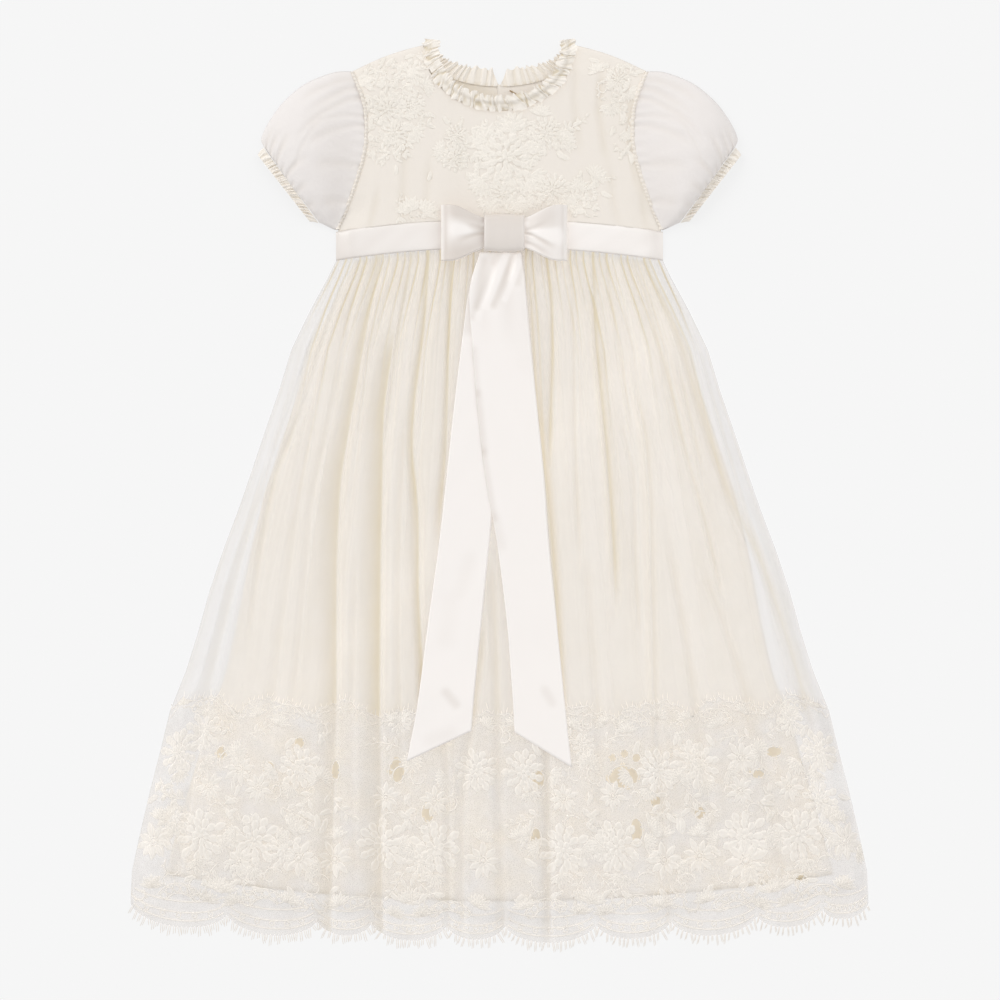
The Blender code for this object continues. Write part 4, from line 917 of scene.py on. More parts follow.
def make_skirt_front():
    share = across_row(-1, 1, 481)
    low = down_at(share, lace_edge(share) - 1.5)
    down = low * down_column(0, 1, 118) ** 1.15
    y = skirt_x(share, down)[1]
    points, tone = front_surface(share, y)
    points[..., 2] -= 0.35 * smooth(6, 0, y - lace_edge(share))
    make_cover("skirt_front", "tulle", points, TULLE, tone, uv=cloth_uv(share, y))


def make_skirt_back():
    share = across_row(-1, 1, 181)
    down = down_at(share, lace_top(share) + GAP) * down_column(0, 1, 60)
    x, y = skirt_x(share, down)
    ripple = wobble(share * 90 + 2 * np.sin(2 * down), 2)
    gather = np.exp(-down * 5) * np.sin(share * 150)
    z = 0.75 + 0.35 * ripple + 0.25 * gather
    # Painted shade in the ripples' hollows, lighter on their tops
    make_cover("skirt_back", "tulle", (x, y, z), TULLE, 0.25 - 0.25 * ripple, uv=cloth_uv(share, y))


def make_lining(node, z_low, seed, shaded=()):
    """A lining panel with painted shade where it shows through the holes that lie over it and in its ripples'
    hollows, and a darker last row at its hem.
    """
    columns, rows = (181, 120) if shaded else (111, 60)
    share = across_row(-1, 1, columns)
    down = down_column(0, 1, rows)
    top = band_edge(BAND_BOTTOM_Y - GAP, share * WAIST_HALF) - GAP
    corner = float(lining_hem(lining_side(LINING_HEM_Y))) + 2
    y = mix(top, lining_hem(share * lining_side(corner)), down)
    x = share * lining_side(np.maximum(y, corner))
    ripple = wobble(share * 16 + 0.5 * np.sin(3 * down), seed)
    tone = 0.1 - 0.12 * ripple + 0.8 * (down > 0.994)
    for hole in shaded:
        hole_x, hole_y = at(hole.a, hole.b)
        far = np.hypot((x - hole_x) / hole.half_a, (y - hole_y) / hole.half_b) / PIXEL
        tone = tone + 0.42 * smooth(1.7, 0.7, far)
    make_cover(node, "cloth", (x, y, z_low + 0.6 + 0.25 * ripple), LINING, tone, uv=cloth_uv(share, y, 2.4),
               thick=0.5)


# Lace border

def back_points(share, y, z):
    return stacked(x_of(share, y), y, z)


def outside_holes(x, y):
    """Whether a place of the net lies outside all its uneven openings."""
    outside = np.ones(x.shape, bool)
    for hole in LACE_HOLES:
        hole_x, hole_y = at(hole.a, hole.b)
        near = ((x - hole_x) / (hole.half_a * PIXEL)) ** 2
        near += ((y - hole_y) / (hole.half_b * PIXEL)) ** 2
        around = np.arctan2(y - hole_y, x - hole_x)
        outside &= near > 1 + 0.28 * np.sin(4 * around + hole.a) + 0.2 * np.sin(7 * around + hole.b)
    return outside


def make_lace_ground(node, front):
    columns, rows = (421, 92) if front else (241, 42)
    share = across_row(-1, 1, columns)
    low = hem_line(share) - scallop(share)
    y = mix(top_of_lace(share, front), low, down_column(0, 1, rows))
    keep = None
    if front:
        points, tone = front_surface(share, y)
        middle = (points[:-1, :-1] + points[1:, 1:]) / 2
        keep = outside_holes(middle[..., 0], middle[..., 1])
    else:
        points, tone = back_points(share, y, 0.7 + 0.3 * wobble(share * 60, 3)), 0.2
    # The front net takes the skirt's painted crease shade, a little weaker; the back net is a little darker
    # all over
    make_cover(node, "net", points, NET, tone * 0.8, uv=cloth_uv(share, y), keep=keep)


def in_smooth_fold(x, y):
    for left, right, top, bottom in SMOOTH_FOLDS:
        (x0, y0), (x1, y1) = at(left, bottom), at(right, top)
        if x0 < x < x1 and y0 < y < y1:
            return True
    return False


def hem_place(item):
    """A place in the view as a place along the hem and above it."""
    x, y = at(item.a, item.b)
    share = share_of(x, y)
    return share * HEM_HALF, y - float(hem_line(share))


def scallop_threads(heap):
    for left, right in zip(HEM_VALLEYS, HEM_VALLEYS[1:]):
        middle, half = (left + right) / 2, (right - left) / 2
        for edge in (3.5, 8, 14):
            a = middle + half * np.linspace(-0.93, 0.93, 26)
            cord(heap, np.column_stack([a, edge - scallop(a / HEM_HALF) * (1 - edge / 40)]), 0.55, 0.1)
        for i in range(5):
            a = middle + half * mix(-0.66, 0.66, i / 4)
            ring(heap, a, -float(scallop(a / HEM_HALF)) * 0.8 + 5.8, 1.7, 0.4, 0.1)


def repeated_motifs(heap, front):
    """The border's repeat, turned over at every second scallop and a little uneven."""
    pitch = 2 * HEM_HALF / (LACE_TOP_BUMPS - 1)
    for turn in range(LACE_TOP_BUMPS - 1):
        middle = -HEM_HALF + (turn + 0.5) * pitch
        flip = -1 if turn % 2 else 1
        for i, motif in enumerate(LACE_REPEAT):
            a = middle + flip * motif.a + 1.5 * math.sin(3.1 * i + turn)
            b = motif.b + 1.5 * math.sin(2.3 * i + 1.7 * turn)
            angle = motif.turn if flip > 0 else math.pi - motif.turn
            if abs(a) > HEM_HALF - 5 or (not front and motif.kind in ("tuft", "leaf")):
                continue
            share = a / HEM_HALF
            y = float(hem_line(share)) + b
            if front and in_smooth_fold(float(x_of(share, y)), y):
                continue
            KINDS[motif.kind](heap, a, b, motif.size, angle + 0.2 * math.sin(i + 2 * turn))


def hand_placed_motifs(heap):
    for motif in LACE_BY_HAND:
        KINDS[motif.kind](heap, *hem_place(motif), motif.size, motif.turn)
    for hole in LACE_HOLES:
        mean = PIXEL * math.sqrt(hole.half_a * hole.half_b) + 0.6
        ring(heap, *hem_place(hole), mean, 0.45, 0.05, math.sqrt(hole.half_a / hole.half_b))


def make_lace_motifs(name, front):
    """The border's flowers, leaves and threads in hem coordinates, laid on the gown."""
    heap = Heap()
    scallop_threads(heap)
    repeated_motifs(heap, front)
    if front:
        hand_placed_motifs(heap)
    t = np.linspace(-0.995, 0.995, 420)
    for drop, uneven in ((0.8, 0), (6, 2.2)):
        b = top_of_lace(t, front) - (drop + uneven * wobble(t * 70, 1)) - hem_line(t)
        cord(heap, np.column_stack([t * HEM_HALF, b]), 0.5, 0.1, -0.1)
    local, tone = heap.laid()
    share = np.clip(local[:, 0] / HEM_HALF, -0.999, 0.999)
    y = np.minimum(hem_line(share) + local[:, 1], top_of_lace(share, front))
    y = np.maximum(y, hem_line(share) - scallop(share) - 0.5)
    if front:
        points, dark = front_surface(share, y)
        points[:, 2] += local[:, 2] + 0.1
        # Half the skirt's painted crease shade over the motifs' own painted shading
        tone = tone + 0.5 * dark
    else:
        points = back_points(share, y, 0.45 + 0.4 * local[:, 2])
    make_piece(name, points, heap.faces, LACE, tone)


LASH_STEPS = np.array([-0.08, 0.3, 0.65, 1])
LASH_WIDTHS = np.array([0.42, 0.34, 0.30, 0.16])[:, None]


def edge_lashes(name, share, y, out_x, out_y, front, length, cloth, tones, replaces=()):
    """Fine threads that stand out from an edge, uneven in length and lean."""
    heap = Heap()
    for i in range(len(share)):
        long = length * (0.85 + 0.22 * math.sin(2.9 * i) + 0.12 * math.sin(7.1 * i))
        way = np.array([out_x[i] + 0.16 * math.sin(1.9 * i) + 0.1 * math.sin(5.3 * i), out_y])
        way /= np.linalg.norm(way)
        side = np.array([-way[1], way[0]])
        path = LASH_STEPS[:, None] * long * way + (0.5 * math.sin(3.7 * i) * LASH_STEPS ** 2)[:, None] * side
        rows = np.zeros((4, 2, 3))
        rows[:, 0, :2], rows[:, 1, :2] = path + side * LASH_WIDTHS, path - side * LASH_WIDTHS
        rows[..., 0] += share[i] * HEM_HALF
        rows[..., 1] += y[i]
        heap.grid(rows[::-1], np.array(tones[::-1])[:, None])
    local, tone = heap.laid()
    across = np.clip(local[:, 0] / HEM_HALF, -1, 1)
    if front:
        points, _ = front_surface(across, local[:, 1], 0.35)
    else:
        points = back_points(across, local[:, 1], 0.5)
    points[:, 0] += local[:, 0] - across * HEM_HALF
    make_piece(name, points, heap.faces, cloth, tone, replaces=replaces)


def make_fringes():
    share = np.linspace(-0.996, 0.996, 176)
    y = hem_line(share) - scallop(share)
    out_x = 0.5 * np.gradient(y, share * HEM_HALF)
    for word, front, shift in (("front", True, 0), ("back", False, 0.004)):
        edge_lashes(f"fringe_{word}", share + shift, y, out_x, -1, front, 7, THREAD, (0, 0.3, 0.7, 0.9),
                    (f"hem_fringe_{word}",))
    share = np.linspace(-0.996, 0.996, 150)
    y = lace_edge(share)
    out_x = -0.5 * np.gradient(y, share * HEM_HALF)
    edge_lashes("lace_top_lashes", share, y, out_x, 1, True, 4.4, LACE, (0, 0.05, 0.15, 0.3))


# Bodice

NECK_SHARE = 14 / 22


def bodice_points(columns, rows, depth, left=-1, right=1):
    """Places of a bodice panel from its top edge to the waist, between two shares of its width."""
    across = np.linspace(left, right, columns)
    neck_x = NECK_HALF * np.sin(math.pi / 2 * np.clip(across / NECK_SHARE, -1, 1))
    out = np.sign(across) * mix(NECK_HALF, SHOULDER_X, (np.abs(across) - NECK_SHARE) / (1 - NECK_SHARE))
    inside = np.abs(across) <= NECK_SHARE
    top_x = np.where(inside, neck_x, out)
    top_y = np.where(inside, neckline(neck_x, depth), shoulder_line(out))
    down = down_column(0, 1, rows)
    y = mix(top_y, band_edge(BAND_TOP_Y, across * WAIST_HALF), down)
    return mix(top_x / bodice_half(top_y), across, down) * bodice_half(y), y


# Creases of the bodice front in the view: route, depth, reach to the left and the right, and painted shade
BODICE_CREASES = [Fold(*row) for row in (
    (((602, 70), (598, 110), (606, 160)), 0.7, 5, 5, 0.35),
    (((576, 62), (574, 100), (580, 150)), 0.5, 5, 5, 0.25),
    (((630, 90), (628, 140), (636, 190)), 0.6, 3, 6, 0.3),
    (((405, 130), (404, 170), (402, 222)), 0.5, 5, 6, 0.25),
    (((430, 160), (428, 190), (424, 222)), 0.4, 5, 4, 0.2),
    (((610, 170), (612, 195), (618, 226)), 0.5, 5, 5, 0.25),
    (((640, 180), (642, 205), (646, 228)), 0.5, 4, 5, 0.3),
    (((378, 190), (374, 210), (370, 228)), 0.5, 4, 5, 0.3),
)]

def creases_at(creases, x, y):
    taken, dark = np.zeros(x.shape), np.zeros(x.shape)
    for fold in creases:
        xs, ys = route_up(fold.route)
        fade = smooth(ys[0] - 10, ys[0] + 12, y) * (1 - smooth(ys[-1] - 12, ys[-1] + 10, y))
        away = x - np.interp(y, ys, xs)
        near = nearness(away, np.where(away < 0, fold.left, fold.right))
        taken += fold.depth * fade * rounded(near)
        dark += fold.tone * fade * near
    return taken, dark


def make_bodice_front():
    x, y = bodice_points(221, 96, FRONT_NECK_DEPTH)
    taken, dark = creases_at(BODICE_CREASES, x, y)
    z = bodice_z(x, y) - 0.8 * taken + 0.12 * wobble(x * 0.16, 1)
    z = z - 1 * smooth(2.6, 0, shoulder_line(x) - y) * (np.abs(x) > NECK_HALF - 1)
    # Painted shade along the creases, and darker within 3 mm of the side edges
    seam = np.clip(1 - (bodice_half(y) - np.abs(x)) / 3, 0, 1)
    make_cover("bodice_front", "cloth", (x, y, z), BODICE, dark + 0.25 * seam, thick=0.8, shadow=True)


def make_bodice_backs():
    """Two backs that meet down the middle, painted in shadow towards the left and lower down; the right one
    has a paler band of painted light across its facing, and a darker line along its edge.
    """
    for word, left, right in (("left", -1, -0.0034), ("right", -0.012, 1)):
        x, y = bodice_points(81, 60, BACK_NECK_DEPTH, left, right)
        z = 1.1 + 0.08 * wobble(x * 0.2, 5)
        # Painted shadow towards the left and lower down in the neck opening
        tone = 0.15 + 0.55 * smooth(12, -30, x) + 0.15 * smooth(300, 285, y)
        if word == "right":
            z = z + 0.5 * smooth(5, 0, x)
            # A painted band of light across the facing, and a darker line along the edge
            tone = tone - 0.3 * smooth(14, 4, np.abs(y - 299)) + 0.5 * smooth(1.2, 0, np.abs(x - 4.2))
        make_cover(f"bodice_back_{word}", "cloth", (x, y, z), BODICE, tone, thick=0.7, shadow=True)


def make_sprays():
    """The listed flowers and the stitched patches of the bodice, as one piece of lace."""
    heap = Heap()
    for motif in SPRAYS:
        KINDS[motif.kind](heap, *at(motif.a, motif.b), motif.size, motif.turn)
    for patch in PATCHES:
        for i in range(patch.count):
            angle, reach = 2.4 * i + patch.a, math.sqrt((i + 0.5) / patch.count)
            place = at(patch.a + reach * patch.half_a * math.cos(angle),
                       patch.b + reach * patch.half_b * math.sin(angle))
            size = patch.size * (0.85 + 0.3 * math.sin(3.7 * i + patch.b))
            sprig(heap, *place, size, 2.1 * i + 0.8 * math.sin(1.3 * i + patch.b))
    points, tone = heap.laid()
    low, high = band_edge(BAND_TOP_Y, points[:, 0]) + 0.5, shoulder_line(points[:, 0]) - 0.5
    y = np.clip(points[:, 1], low, high)
    x = np.clip(points[:, 0], -bodice_half(y), bodice_half(y))
    z = bodice_z(x, y) + 0.15 + 0.5 * points[:, 2]
    nodes = [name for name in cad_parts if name.startswith("lace_spray_")]
    make_piece("bodice_lace", np.column_stack([x, y, z]), heap.faces, APPLIQUE, tone, replaces=nodes)


# Puckers of the neck frills, and the angles from the middle of the neck at which the frills end
FRONT_PUCKERS, BACK_PUCKERS = 26, 13
PUCKER_COLUMNS, FRILL_ROWS = 16, 17
FRONT_END = math.radians(99)
OPENING, BACK_END = math.radians(1.2), math.radians(84)


def make_neck_frill_front():
    """A full puckered frill round the front of the neck, pinched along its middle."""
    turn = across_row(-1, 1, FRONT_PUCKERS * PUCKER_COLUMNS + 1)
    out = down_column(1, 0, FRILL_ROWS)
    angle = FRONT_END * turn + 0.012 * np.sin(turn * 41)
    phase = math.pi * (FRONT_PUCKERS - 1) * turn + 1.5 * np.sin(turn * 17) + 0.9 * np.sin(turn * 43 + 2)
    phase = phase + 1.5 * np.sin(out * 4.2 + turn * 60)
    fine = np.sin(2.3 * phase + 6 * out + 3 * np.sin(turn * 29))
    rim = np.abs(2 * out - 1) ** 2
    frill = 0.9 * np.sin(phase + 0.8) + 0.5 * np.sin(0.43 * phase + 2) + 0.3 * fine
    frill = frill * rim * np.sign(out - 0.5)
    x, y = neck_point(angle, FRONT_NECK_DEPTH, -0.8 + out * 11 + frill, -0.2 + out * 10.6 + frill)
    base = mix(3.7, FRONT_Z + 0.4, smooth(0.1, 0.6, np.cos(angle)))
    phase = phase + 1.9 * smooth(0.3, 0.6, out)
    lumps = np.sin(phase) * (0.6 + 0.4 * rim) * (0.75 + 0.35 * np.sin(0.37 * phase + 1)) + 0.4 * fine
    pinch = np.exp(-((out - 0.42 - 0.05 * np.sin(0.5 * phase)) / 0.14) ** 2)
    z = base + 3.2 * smooth(0, 0.7, out) + 2.6 + 0.85 * lumps - 1 * pinch
    # Painted shade in the frill's hollows and along its pinch, painted highlight on its lumps
    tone = 0.06 - 0.38 * lumps + 0.4 * pinch * (0.6 + 0.4 * np.sin(1.3 * phase))
    tone = tone + 0.75 * np.clip(-lumps, 0, 1.2) ** 3
    make_cover("neck_ruffle_front", "frill", (x, y, z), RUFFLE, tone)


def make_neck_frills_back():
    """A finer frill on each half of the back neck, narrow at the opening."""
    out = down_column(1, 0, FRILL_ROWS)
    for word, sign in (("left", -1), ("right", 1)):
        share = across_row(0, 1, BACK_PUCKERS * PUCKER_COLUMNS + 1)
        share = share if sign > 0 else 1 - share
        angle = sign * mix(OPENING, BACK_END, share)
        phase = 2 * math.pi * BACK_PUCKERS * share + 1.6 * np.sin(share * 19 + sign)
        phase = phase + 0.9 * np.sin(2 * out + 9 * share)
        notch = smooth(-0.03, 0.085, share)
        frill = (0.9 * np.sin(phase + 0.6) + 0.7 * np.sin(0.47 * phase + sign)) * smooth(0.6, 1, out) * notch
        inset = -1.6 + out * 11.5 * notch + frill
        inset_middle = -1.6 + out * 13 * notch + frill
        x, y = neck_point(angle, BACK_NECK_DEPTH, inset, inset_middle)
        fold = (np.sin(phase) + 0.35 * np.sin(2.6 * phase + 1)) * (0.45 + 0.55 * out)
        # Painted shade in the folds' hollows and along the sewn edge, lighter on the folds' tops
        tone = 0.12 - 0.3 * fold + 0.4 * smooth(0.25, 0, out) * (0.6 - 0.4 * np.sin(phase))
        make_cover(f"neck_ruffle_back_{word}", "frill", (x, y, 2 + 0.55 * fold), RUFFLE, tone, shadow=True)


# Waistband and bow

def make_waistband():
    x = WAIST_HALF * np.sin(math.pi / 2 * across_row(-1, 1, 161))
    down = down_column(0, 1, 15)
    y = mix(band_edge(BAND_TOP_Y, x) + GAP, band_edge(BAND_BOTTOM_Y, x) - GAP, down)
    base = mix(FRONT_AT_SEAM, FRONT_Z, smooth(0, SEAM_SLOPE, WAIST_HALF - np.abs(x)))
    rolled = np.abs(2 * down - 1) ** 6
    z = base + 2 - 0.7 * rolled + 0.10 * wobble(x * 0.12, 2)
    # Painted shade round the bow and towards the band's ends, darker towards the left, with uneven changes
    # along the band
    tone = 0.45 * smooth(60, 35, np.abs(x - 3)) + 0.35 * smooth(100, 117, np.abs(x))
    tone = tone + 0.25 * smooth(20, -40, x) + 0.12 * wobble(x * 0.07 + 2 * down, 4)
    make_cover("waistband_front", "satin", (x, y, z), SATIN, tone, thick=0.6)
    make_cover("waistband_back", "satin", (x, y, 1.15 - 0.3 * rolled), SATIN, 0.2, thick=0.6, shadow=True)


# Creases of the bow loops: distance from the bow's middle and share across (up the gown is
# negative), at both ends, then depth, half width and painted shade; a negative one is a painted highlight
LEFT_LOOP_CREASES = (
    (13, 0.05, 32, 0.25, 0.45, 0.16, 0.40), (13, -0.35, 26, -0.30, 0.2, 0.20, 0.25),
    (24, -0.10, 40, -0.12, 0, 0.42, -0.9), (13.5, -0.60, 17, -0.50, 0, 0.25, -0.7),
    (20, -0.80, 42, -0.85, 0, 0.40, 0.45), (22, 0.80, 44, 0.85, 0, 0.45, 0.38),
)
RIGHT_LOOP_CREASES = (
    (13, -0.02, 34, 0.50, 0.7, 0.15, 0.75), (13, -0.10, 30, -0.35, 0.3, 0.18, 0.30),
    (16, -0.62, 40, -0.62, 0, 0.60, 0.48), (24, 0.06, 42, 0.14, 0, 0.32, -1),
    (14, 0.62, 32, 0.85, 0.3, 0.20, 0.45), (13.5, -0.60, 18, -0.55, 0, 0.22, -0.7),
)
LOOP_ROWS, LOOP_COLUMNS = 64, 41


def loop_creases(creases, across, share):
    dip, tone = np.zeros((LOOP_ROWS, LOOP_COLUMNS)), np.zeros((LOOP_ROWS, LOOP_COLUMNS))
    for start, share_start, end, share_end, depth, reach, dark in creases:
        t = (across - start) / (end - start)
        centre = mix(share_start, share_end, np.clip(t, 0, 1))
        fade = (1 - smooth(0.7, 1.3, t)) * smooth(-0.35, 0.25, t)
        hump = rounded(nearness(share - centre, reach * mix(0.8, 1.5, np.clip(t, 0, 1))))
        dip += depth * fade * hump
        tone += dark * fade * hump
    return dip, tone


def make_loops():
    """Two open ribbon loops, each a path round its hollow; only the upper half is creased."""
    path = along_path(LOOP_PATH, LOOP_ROWS)
    across, height = path[:, :1], path[:, 1:]
    upper = (np.arange(LOOP_ROWS) < LOOP_ROWS // 2)[:, None]
    share = across_row(-1, 1, LOOP_COLUMNS)
    half = mix(LOOP_HALF_AT_KNOT, LOOP_HALF_OUTSIDE, smooth(10, 40, across))
    for side, word, creases, shade in ((-1, "left", LEFT_LOOP_CREASES, 0.66),
                                       (1, "right", RIGHT_LOOP_CREASES, 0.24)):
        dip, tone = (change * upper for change in loop_creases(creases, across, share))
        # Painted shade over the upper half, more on the left loop, and a painted highlight on the outer rim
        # with a painted shade line just inside it
        tone = tone + shade * upper - 0.5 * bell(across, 45.2, 1.1)
        tone = tone + 0.25 * upper * bell(across, 42.6, 1)
        z = height - dip + 0.4 * np.cos(2 * share) * upper
        points = stacked(BOW_X + side * across, BOW_Y - half * share, z)
        if side > 0:
            points, tone = points[::-1], tone[::-1]
        make_cover(f"bow_loop_{word}", "satin", points, SATIN, tone, thick=0.5)


def make_knot():
    path = along_path(KNOT_PATH, 40)
    along, height = path[:, :1], path[:, 1:]
    across = across_row(-1, 1, 25)
    x = BOW_X + KNOT_HALF_WIDTH * across
    y = BOW_Y + along * (1 + 0.03 * np.cos(math.pi * across))
    z = height - 0.25 * across ** 4 + 0.10 * np.cos(9 * across + 1)
    # Painted reflection: the knot's satin painted darker than the loops and darker still towards its top, with
    # painted highlights at its side edges and near its lower end
    tone = 0.78 + 0.15 * smooth(0, 12, along) - 0.3 * np.abs(across) ** 12
    tone = tone - 0.12 * bell(along, -12, 2.5)
    make_cover("bow_knot", "satin", (x, y, z), SATIN, tone, thick=0.5)


# Soft dents and creases of the tails in the view: ends, depth, half width, and painted shade; a negative one
# is a painted highlight
LEFT_DENTS = ((478, 262, 468, 330, 0.6, 4, 0.35), (446, 692, 456, 704, 0.8, 3, 0.45),
              (430, 740, 450, 733, 0.4, 5, 0.15), (470, 560, 462, 590, 0.4, 5, 0.12),
              (452, 600, 446, 640, 0.3, 6, 0.10))
RIGHT_DENTS = ((500, 250, 478, 308, 1.3, 2.6, 0.5), (516, 250, 494, 306, 1.3, 2.4, 0.6),
               (524, 256, 518, 284, 0.8, 2.2, 0.4), (484, 262, 473, 318, 0.9, 2.4, 0.35),
               (508, 252, 486, 306, 0, 2.2, -0.5), (520, 262, 505, 300, 0, 1.8, -0.4),
               (492, 268, 478, 318, 0, 1.8, -0.3), (474, 350, 477, 394, 0.4, 2.5, 0.3),
               (477, 394, 483, 452, 0.5, 3, 0.45),
               (483, 452, 494, 519, 0.8, 2.5, 0.4), (494, 519, 500, 545, 0.4, 4, 0.25),
               (545, 690, 552, 702, 0.6, 3, 0.3), (516, 300, 540, 360, 0, 12, 0.10))
TAIL_ROWS, TAIL_COLUMNS = 150, 33


def tail_surface(table, dents, lift):
    ends = along_path(table, TAIL_ROWS)
    share = across_row(0, 1, TAIL_COLUMNS)
    x, y = mix(ends[:, :1], ends[:, 2:3], share), mix(ends[:, 1:2], ends[:, 3:], share)
    down = np.clip(down_at(0, y), 0, 1)
    crest = FRONT_Z + FOLDED_WALL + np.interp(down, FOLD_DOWN, FOLD_CREST)
    crest = crest + np.interp(down, FOLD_DOWN, TAIL_OVER_CREST)
    under_knot = smooth(95, 165, y)
    pleats = np.sin(share * 15 + 1)
    z = crest + GAP + 0.2 + 0.9 * smooth(-110, -150, y) + 1.1 * (0.5 + 0.5 * pleats) * under_knot
    z = z + lift * smooth(-150, -60, y) + 0.25 * wobble(y * 0.035 + share * 2, 3)
    # Painted shade between the pleats under the knot
    tone = 0.25 * (0.5 - 0.5 * pleats) * under_knot
    for x0, y0, x1, y1, depth, reach, dark in dents:
        (ax, ay), (bx, by) = at(x0, y0), at(x1, y1)
        length = (bx - ax) ** 2 + (by - ay) ** 2
        t = np.clip(((x - ax) * (bx - ax) + (y - ay) * (by - ay)) / length, 0, 1)
        hump = rounded(nearness(np.hypot(x - mix(ax, bx, t), y - mix(ay, by, t)), 2 * reach))
        z -= depth * hump * 0.5
        tone += dark * hump
    return np.stack([x, y, z], -1), tone


def make_tails():
    for word, table, dents, lift in (("left", LEFT_TAIL, LEFT_DENTS, 0),
                                     ("right", RIGHT_TAIL, RIGHT_DENTS, 1.2)):
        points, tone = tail_surface(table, dents, lift)
        if table[0][0] > table[0][2]:
            points, tone = points[:, ::-1], tone[:, ::-1]
        make_cover(f"bow_tail_{word}", "satin", points, SATIN, tone, thick=0.4)


# Sleeves

# Creases of the left sleeve: along and share across at both ends, depth, half width, painted shade
SLEEVE_CREASES = (
    (0.02, 0.10, 0.45, 0.22, 1.6, 0.030, 0.45), (0.02, 0.16, 0.60, 0.34, 1.4, 0.026, 0.4),
    (0.02, 0.05, 0.50, 0.10, 1.4, 0.028, 0.4), (0.98, 0.30, 0.50, 0.24, 2, 0.030, 0.6),
    (0.98, 0.45, 0.40, 0.48, 1.9, 0.026, 0.55), (0.98, 0.62, 0.45, 0.66, 1.6, 0.034, 0.45),
    (0.98, 0.18, 0.62, 0.15, 1.7, 0.028, 0.5), (0.98, 0.80, 0.50, 0.80, 1.2, 0.036, 0.35),
    (0.04, 0.60, 0.50, 0.56, 1, 0.036, 0.3), (0.04, 0.82, 0.55, 0.84, 1.1, 0.036, 0.3),
    (0.98, 0.38, 0.76, 0.37, 1.8, 0.018, 0.5), (0.98, 0.54, 0.74, 0.56, 1.7, 0.018, 0.5),
    (0.98, 0.71, 0.78, 0.72, 1.4, 0.018, 0.45), (0.98, 0.25, 0.80, 0.23, 1.6, 0.016, 0.45),
    (0.04, 0.34, 0.55, 0.42, 1.1, 0.030, 0.3), (0.30, 0.28, 0.70, 0.52, 0.8, 0.026, 0.25),
    (0.98, 0.90, 0.60, 0.92, 1.2, 0.024, 0.35), (0.98, 0.10, 0.66, 0.07, 1.5, 0.022, 0.45),
)


def section_values(sections, along):
    curve = along_path(sections, 200)
    return [np.interp(along, curve[:, 0], curve[:, i]) for i in range(1, 7)]


def sleeve_surface(sections, along_count, around, under, side, wave):
    """A flattened tube from its top edge over the front and back under it."""
    along = down_column(0, 1, along_count)
    top_x, top_y, low_x, low_y, bulge, height = section_values(sections, along)
    share = np.concatenate([np.linspace(0, 1, around), np.linspace(1, 0, under + 2)[1:-1]])[None, :]
    over = (np.arange(around + under) < around)[None, :]
    length = np.hypot(low_x - top_x, low_y - top_y)
    across_x, across_y = (low_x - top_x) / length, (low_y - top_y) / length
    bow = bulge * np.sin(math.pi * share)
    x = top_x + across_x * length * share - across_y * bow
    y = top_y + across_y * length * share + across_x * bow
    if sections is SLEEVE_SECTIONS:
        x = mix(-bodice_half(y) - 2 * GAP, x, smooth(0, 0.10, along))
    dome = np.maximum(0, 4 * share * (1 - share)) ** 0.7
    lumps, tone = wave(along, share)
    edge = smooth(0, 0.10, np.minimum(share, 1 - share))
    z = np.where(over, mix(np.minimum(3.6, height * 0.55), height, dome) + lumps * edge, 0.35)
    # The part underneath is painted in shade
    return np.stack([side * -x, y, z], -1), np.where(over, tone, 0.3)


def sleeve_wave(along, share):
    """Creases from the armhole and the cuff with painted shade in them, and puckers along both seams."""
    lumps = np.zeros(np.broadcast(along, share).shape)
    tone = np.zeros(lumps.shape)
    for a0, s0, a1, s1, depth, reach, dark in SLEEVE_CREASES:
        t = np.clip((along - a0) / (a1 - a0), 0, 1)
        near = nearness(share - mix(s0, s1, t), reach * mix(1, 2.2, t))
        fade = 1 - smooth(0.5, 1, t)
        lumps -= 0.6 * depth * fade * rounded(near)
        tone += 0.5 * dark * fade * near
    puckers = np.sin(share * 105 + 1.2 * np.sin(share * 21))
    at_cuff = smooth(0.84, 1, along)
    lumps += 0.5 * puckers * at_cuff + 0.35 * puckers * smooth(0.14, 0, along)
    lumps += 0.35 * wobble(share * 9 + 5 * along, 2) * smooth(0, 0.3, along) * smooth(1, 0.7, along)
    # Painted shade between the puckers at the cuff, and a slightly darker strip along the armhole
    tone += 0.12 * (1 - puckers) * at_cuff
    tone += 0.06 * smooth(0.08, 0, along - 0.13 - 0.22 * smooth(0.1, 0.3, share) * smooth(1, 0.8, share))
    return lumps, np.clip(tone, -0.3, 1)


def cuff_wave(along, share):
    puckers = np.sin(share * 108 + 2.8 * np.sin(share * 23) + 2.6 * along)
    fine = np.sin(share * 171 + 5 * along + 3 * np.sin(31 * share))
    lumps = 0.5 * puckers + 0.4 * fine - 0.5 * bell(along, 0.45, 0.2)
    # Painted shade between the puckers, lighter on their tops
    return lumps, 0.05 - 0.16 * puckers - 0.14 * fine


def make_sleeves():
    for side, word in SIDES:
        for part, sections, shape, wave, cloth in (
                ("sleeve", SLEEVE_SECTIONS, (56, 81, 24), sleeve_wave, GEORGETTE),
                ("cuff", CUFF_SECTIONS, (11, 181, 60), cuff_wave, RUFFLE)):
            points, tone = sleeve_surface(sections, *shape, side, wave)
            if side < 0:
                points, tone = points[:, ::-1], tone[:, ::-1]
            make_cover(f"{part}_{word}", "cloth", points, cloth, tone, closed=True, shadow=True)


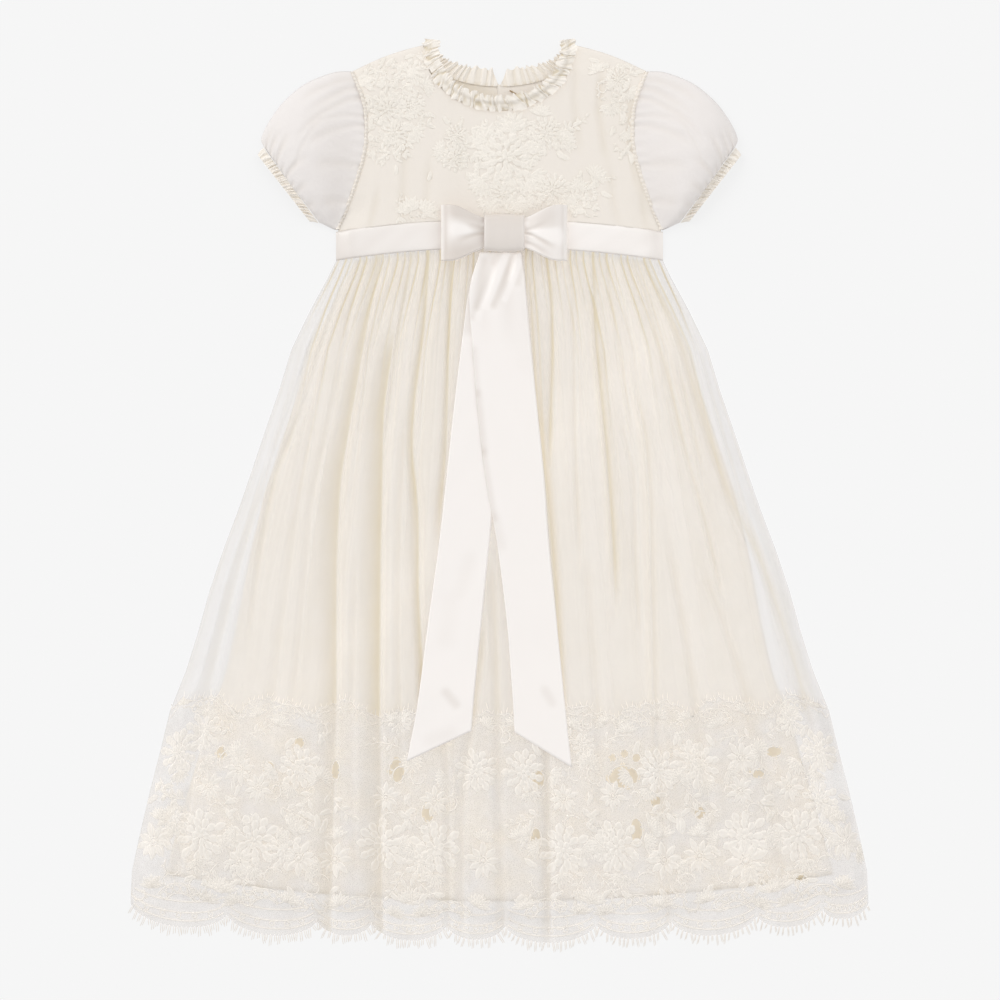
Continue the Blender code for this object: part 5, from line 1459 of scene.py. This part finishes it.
def make_armhole_seams():
    """A puckered, piped seam between each sleeve and the bodice."""
    y = down_column(195.5, 311, 250)
    share = across_row(-1, 1, 9)
    pucker = np.sin(y * 2.1 + 1.4 * np.sin(y * 0.31)) + 0.4 * np.sin(y * 4.7)
    x = bodice_half(y) + 0.3 + (1.5 + 0.25 * pucker) * share
    z = bodice_z(bodice_half(y), y) + 0.6 + (1.1 + 0.25 * pucker) * (1 - share ** 2)
    z = z + 0.7 * share * smooth(200, 215, y)
    # Painted shade on the piping's sides and between its puckers, lighter on the puckers' tops
    tone = 0.1 - 0.2 * pucker + 0.25 * np.abs(share) ** 3
    for side, word in SIDES:
        points, shade = stacked(side * x, y, z), tone
        if side > 0:
            points, shade = points[:, ::-1], tone[:, ::-1]
        make_grid(f"armhole_seam_{word}", points, BODICE, shade)


# Room, lights and camera

FLOOR_REACH = 12
FLOOR_Z = -0.0005
FLOOR_GREY = 0.14
FLOOR_GLOW = 0.777
SKY = 0.66
# Lamps: name, strength, softness and tilt in degrees
LAMPS = (("key", 1.24, 40, (0, -52, -35)), ("fill", 0.60, 60, (0, 45, 20)))
SENSOR = 36
CAMERA_X, CAMERA_Y = 0.37, -3.3


def make_floor():
    material, tree, shader = new_material("floor")
    set_inputs(tree, shader, {"Base Color": (FLOOR_GREY, FLOOR_GREY, FLOOR_GREY, 1), "Roughness": 1,
                              "Specular IOR Level": 0, "Emission Color": (1, 1, 1, 1),
                              "Emission Strength": FLOOR_GLOW})
    mesh = bpy.data.meshes.new("floor")
    corners = [(x * FLOOR_REACH, y * FLOOR_REACH, FLOOR_Z) for x, y in ((-1, -1), (1, -1), (1, 1), (-1, 1))]
    mesh.from_pydata(corners, [], [(0, 1, 2, 3)])
    mesh.materials.append(material)
    floor = bpy.data.objects.new("floor", mesh)
    bpy.context.scene.collection.objects.link(floor)


def make_lights():
    world = bpy.data.worlds.new("studio")
    world.use_nodes = True
    background = world.node_tree.nodes["Background"]
    set_inputs(world.node_tree, background, {"Color": (1, 1, 1, 1), "Strength": SKY})
    bpy.context.scene.world = world
    for name, strength, soft, tilt in LAMPS:
        light = bpy.data.lights.new(name, "SUN")
        light.energy = strength
        light.angle = math.radians(soft)
        lamp = bpy.data.objects.new(name, light)
        lamp.rotation_euler = [math.radians(value) for value in tilt]
        bpy.context.scene.collection.objects.link(lamp)


def make_camera():
    camera = bpy.data.cameras.new("camera")
    camera.sensor_width = SENSOR
    camera.lens = SENSOR * CAMERA_HEIGHT / VIEW_WIDTH
    eye = bpy.data.objects.new("camera", camera)
    eye.location = (CAMERA_X * MM, CAMERA_Y * MM, CAMERA_HEIGHT * MM)
    bpy.context.scene.collection.objects.link(eye)
    bpy.context.scene.camera = eye
    bpy.context.scene.view_settings.view_transform = "Standard"


make_floor()
make_lights()
make_camera()
make_skirt_back()
make_lining("lining_back", LINING_BACK_Z, 2)
make_lining("lining_front", LINING_FRONT_Z, 5, LACE_HOLES)
make_skirt_front()
make_lace_ground("lace_border_front", True)
make_lace_ground("lace_border_back", False)
make_lace_motifs("lace_border_front_motifs", True)
make_lace_motifs("lace_border_back_motifs", False)
make_fringes()
make_bodice_front()
make_bodice_backs()
make_sprays()
make_neck_frill_front()
make_neck_frills_back()
make_waistband()
make_loops()
make_knot()
make_tails()
make_sleeves()
make_armhole_seams()
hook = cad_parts["neck_hook"].data
hook.materials.clear()
hook.materials.append(metal_material())
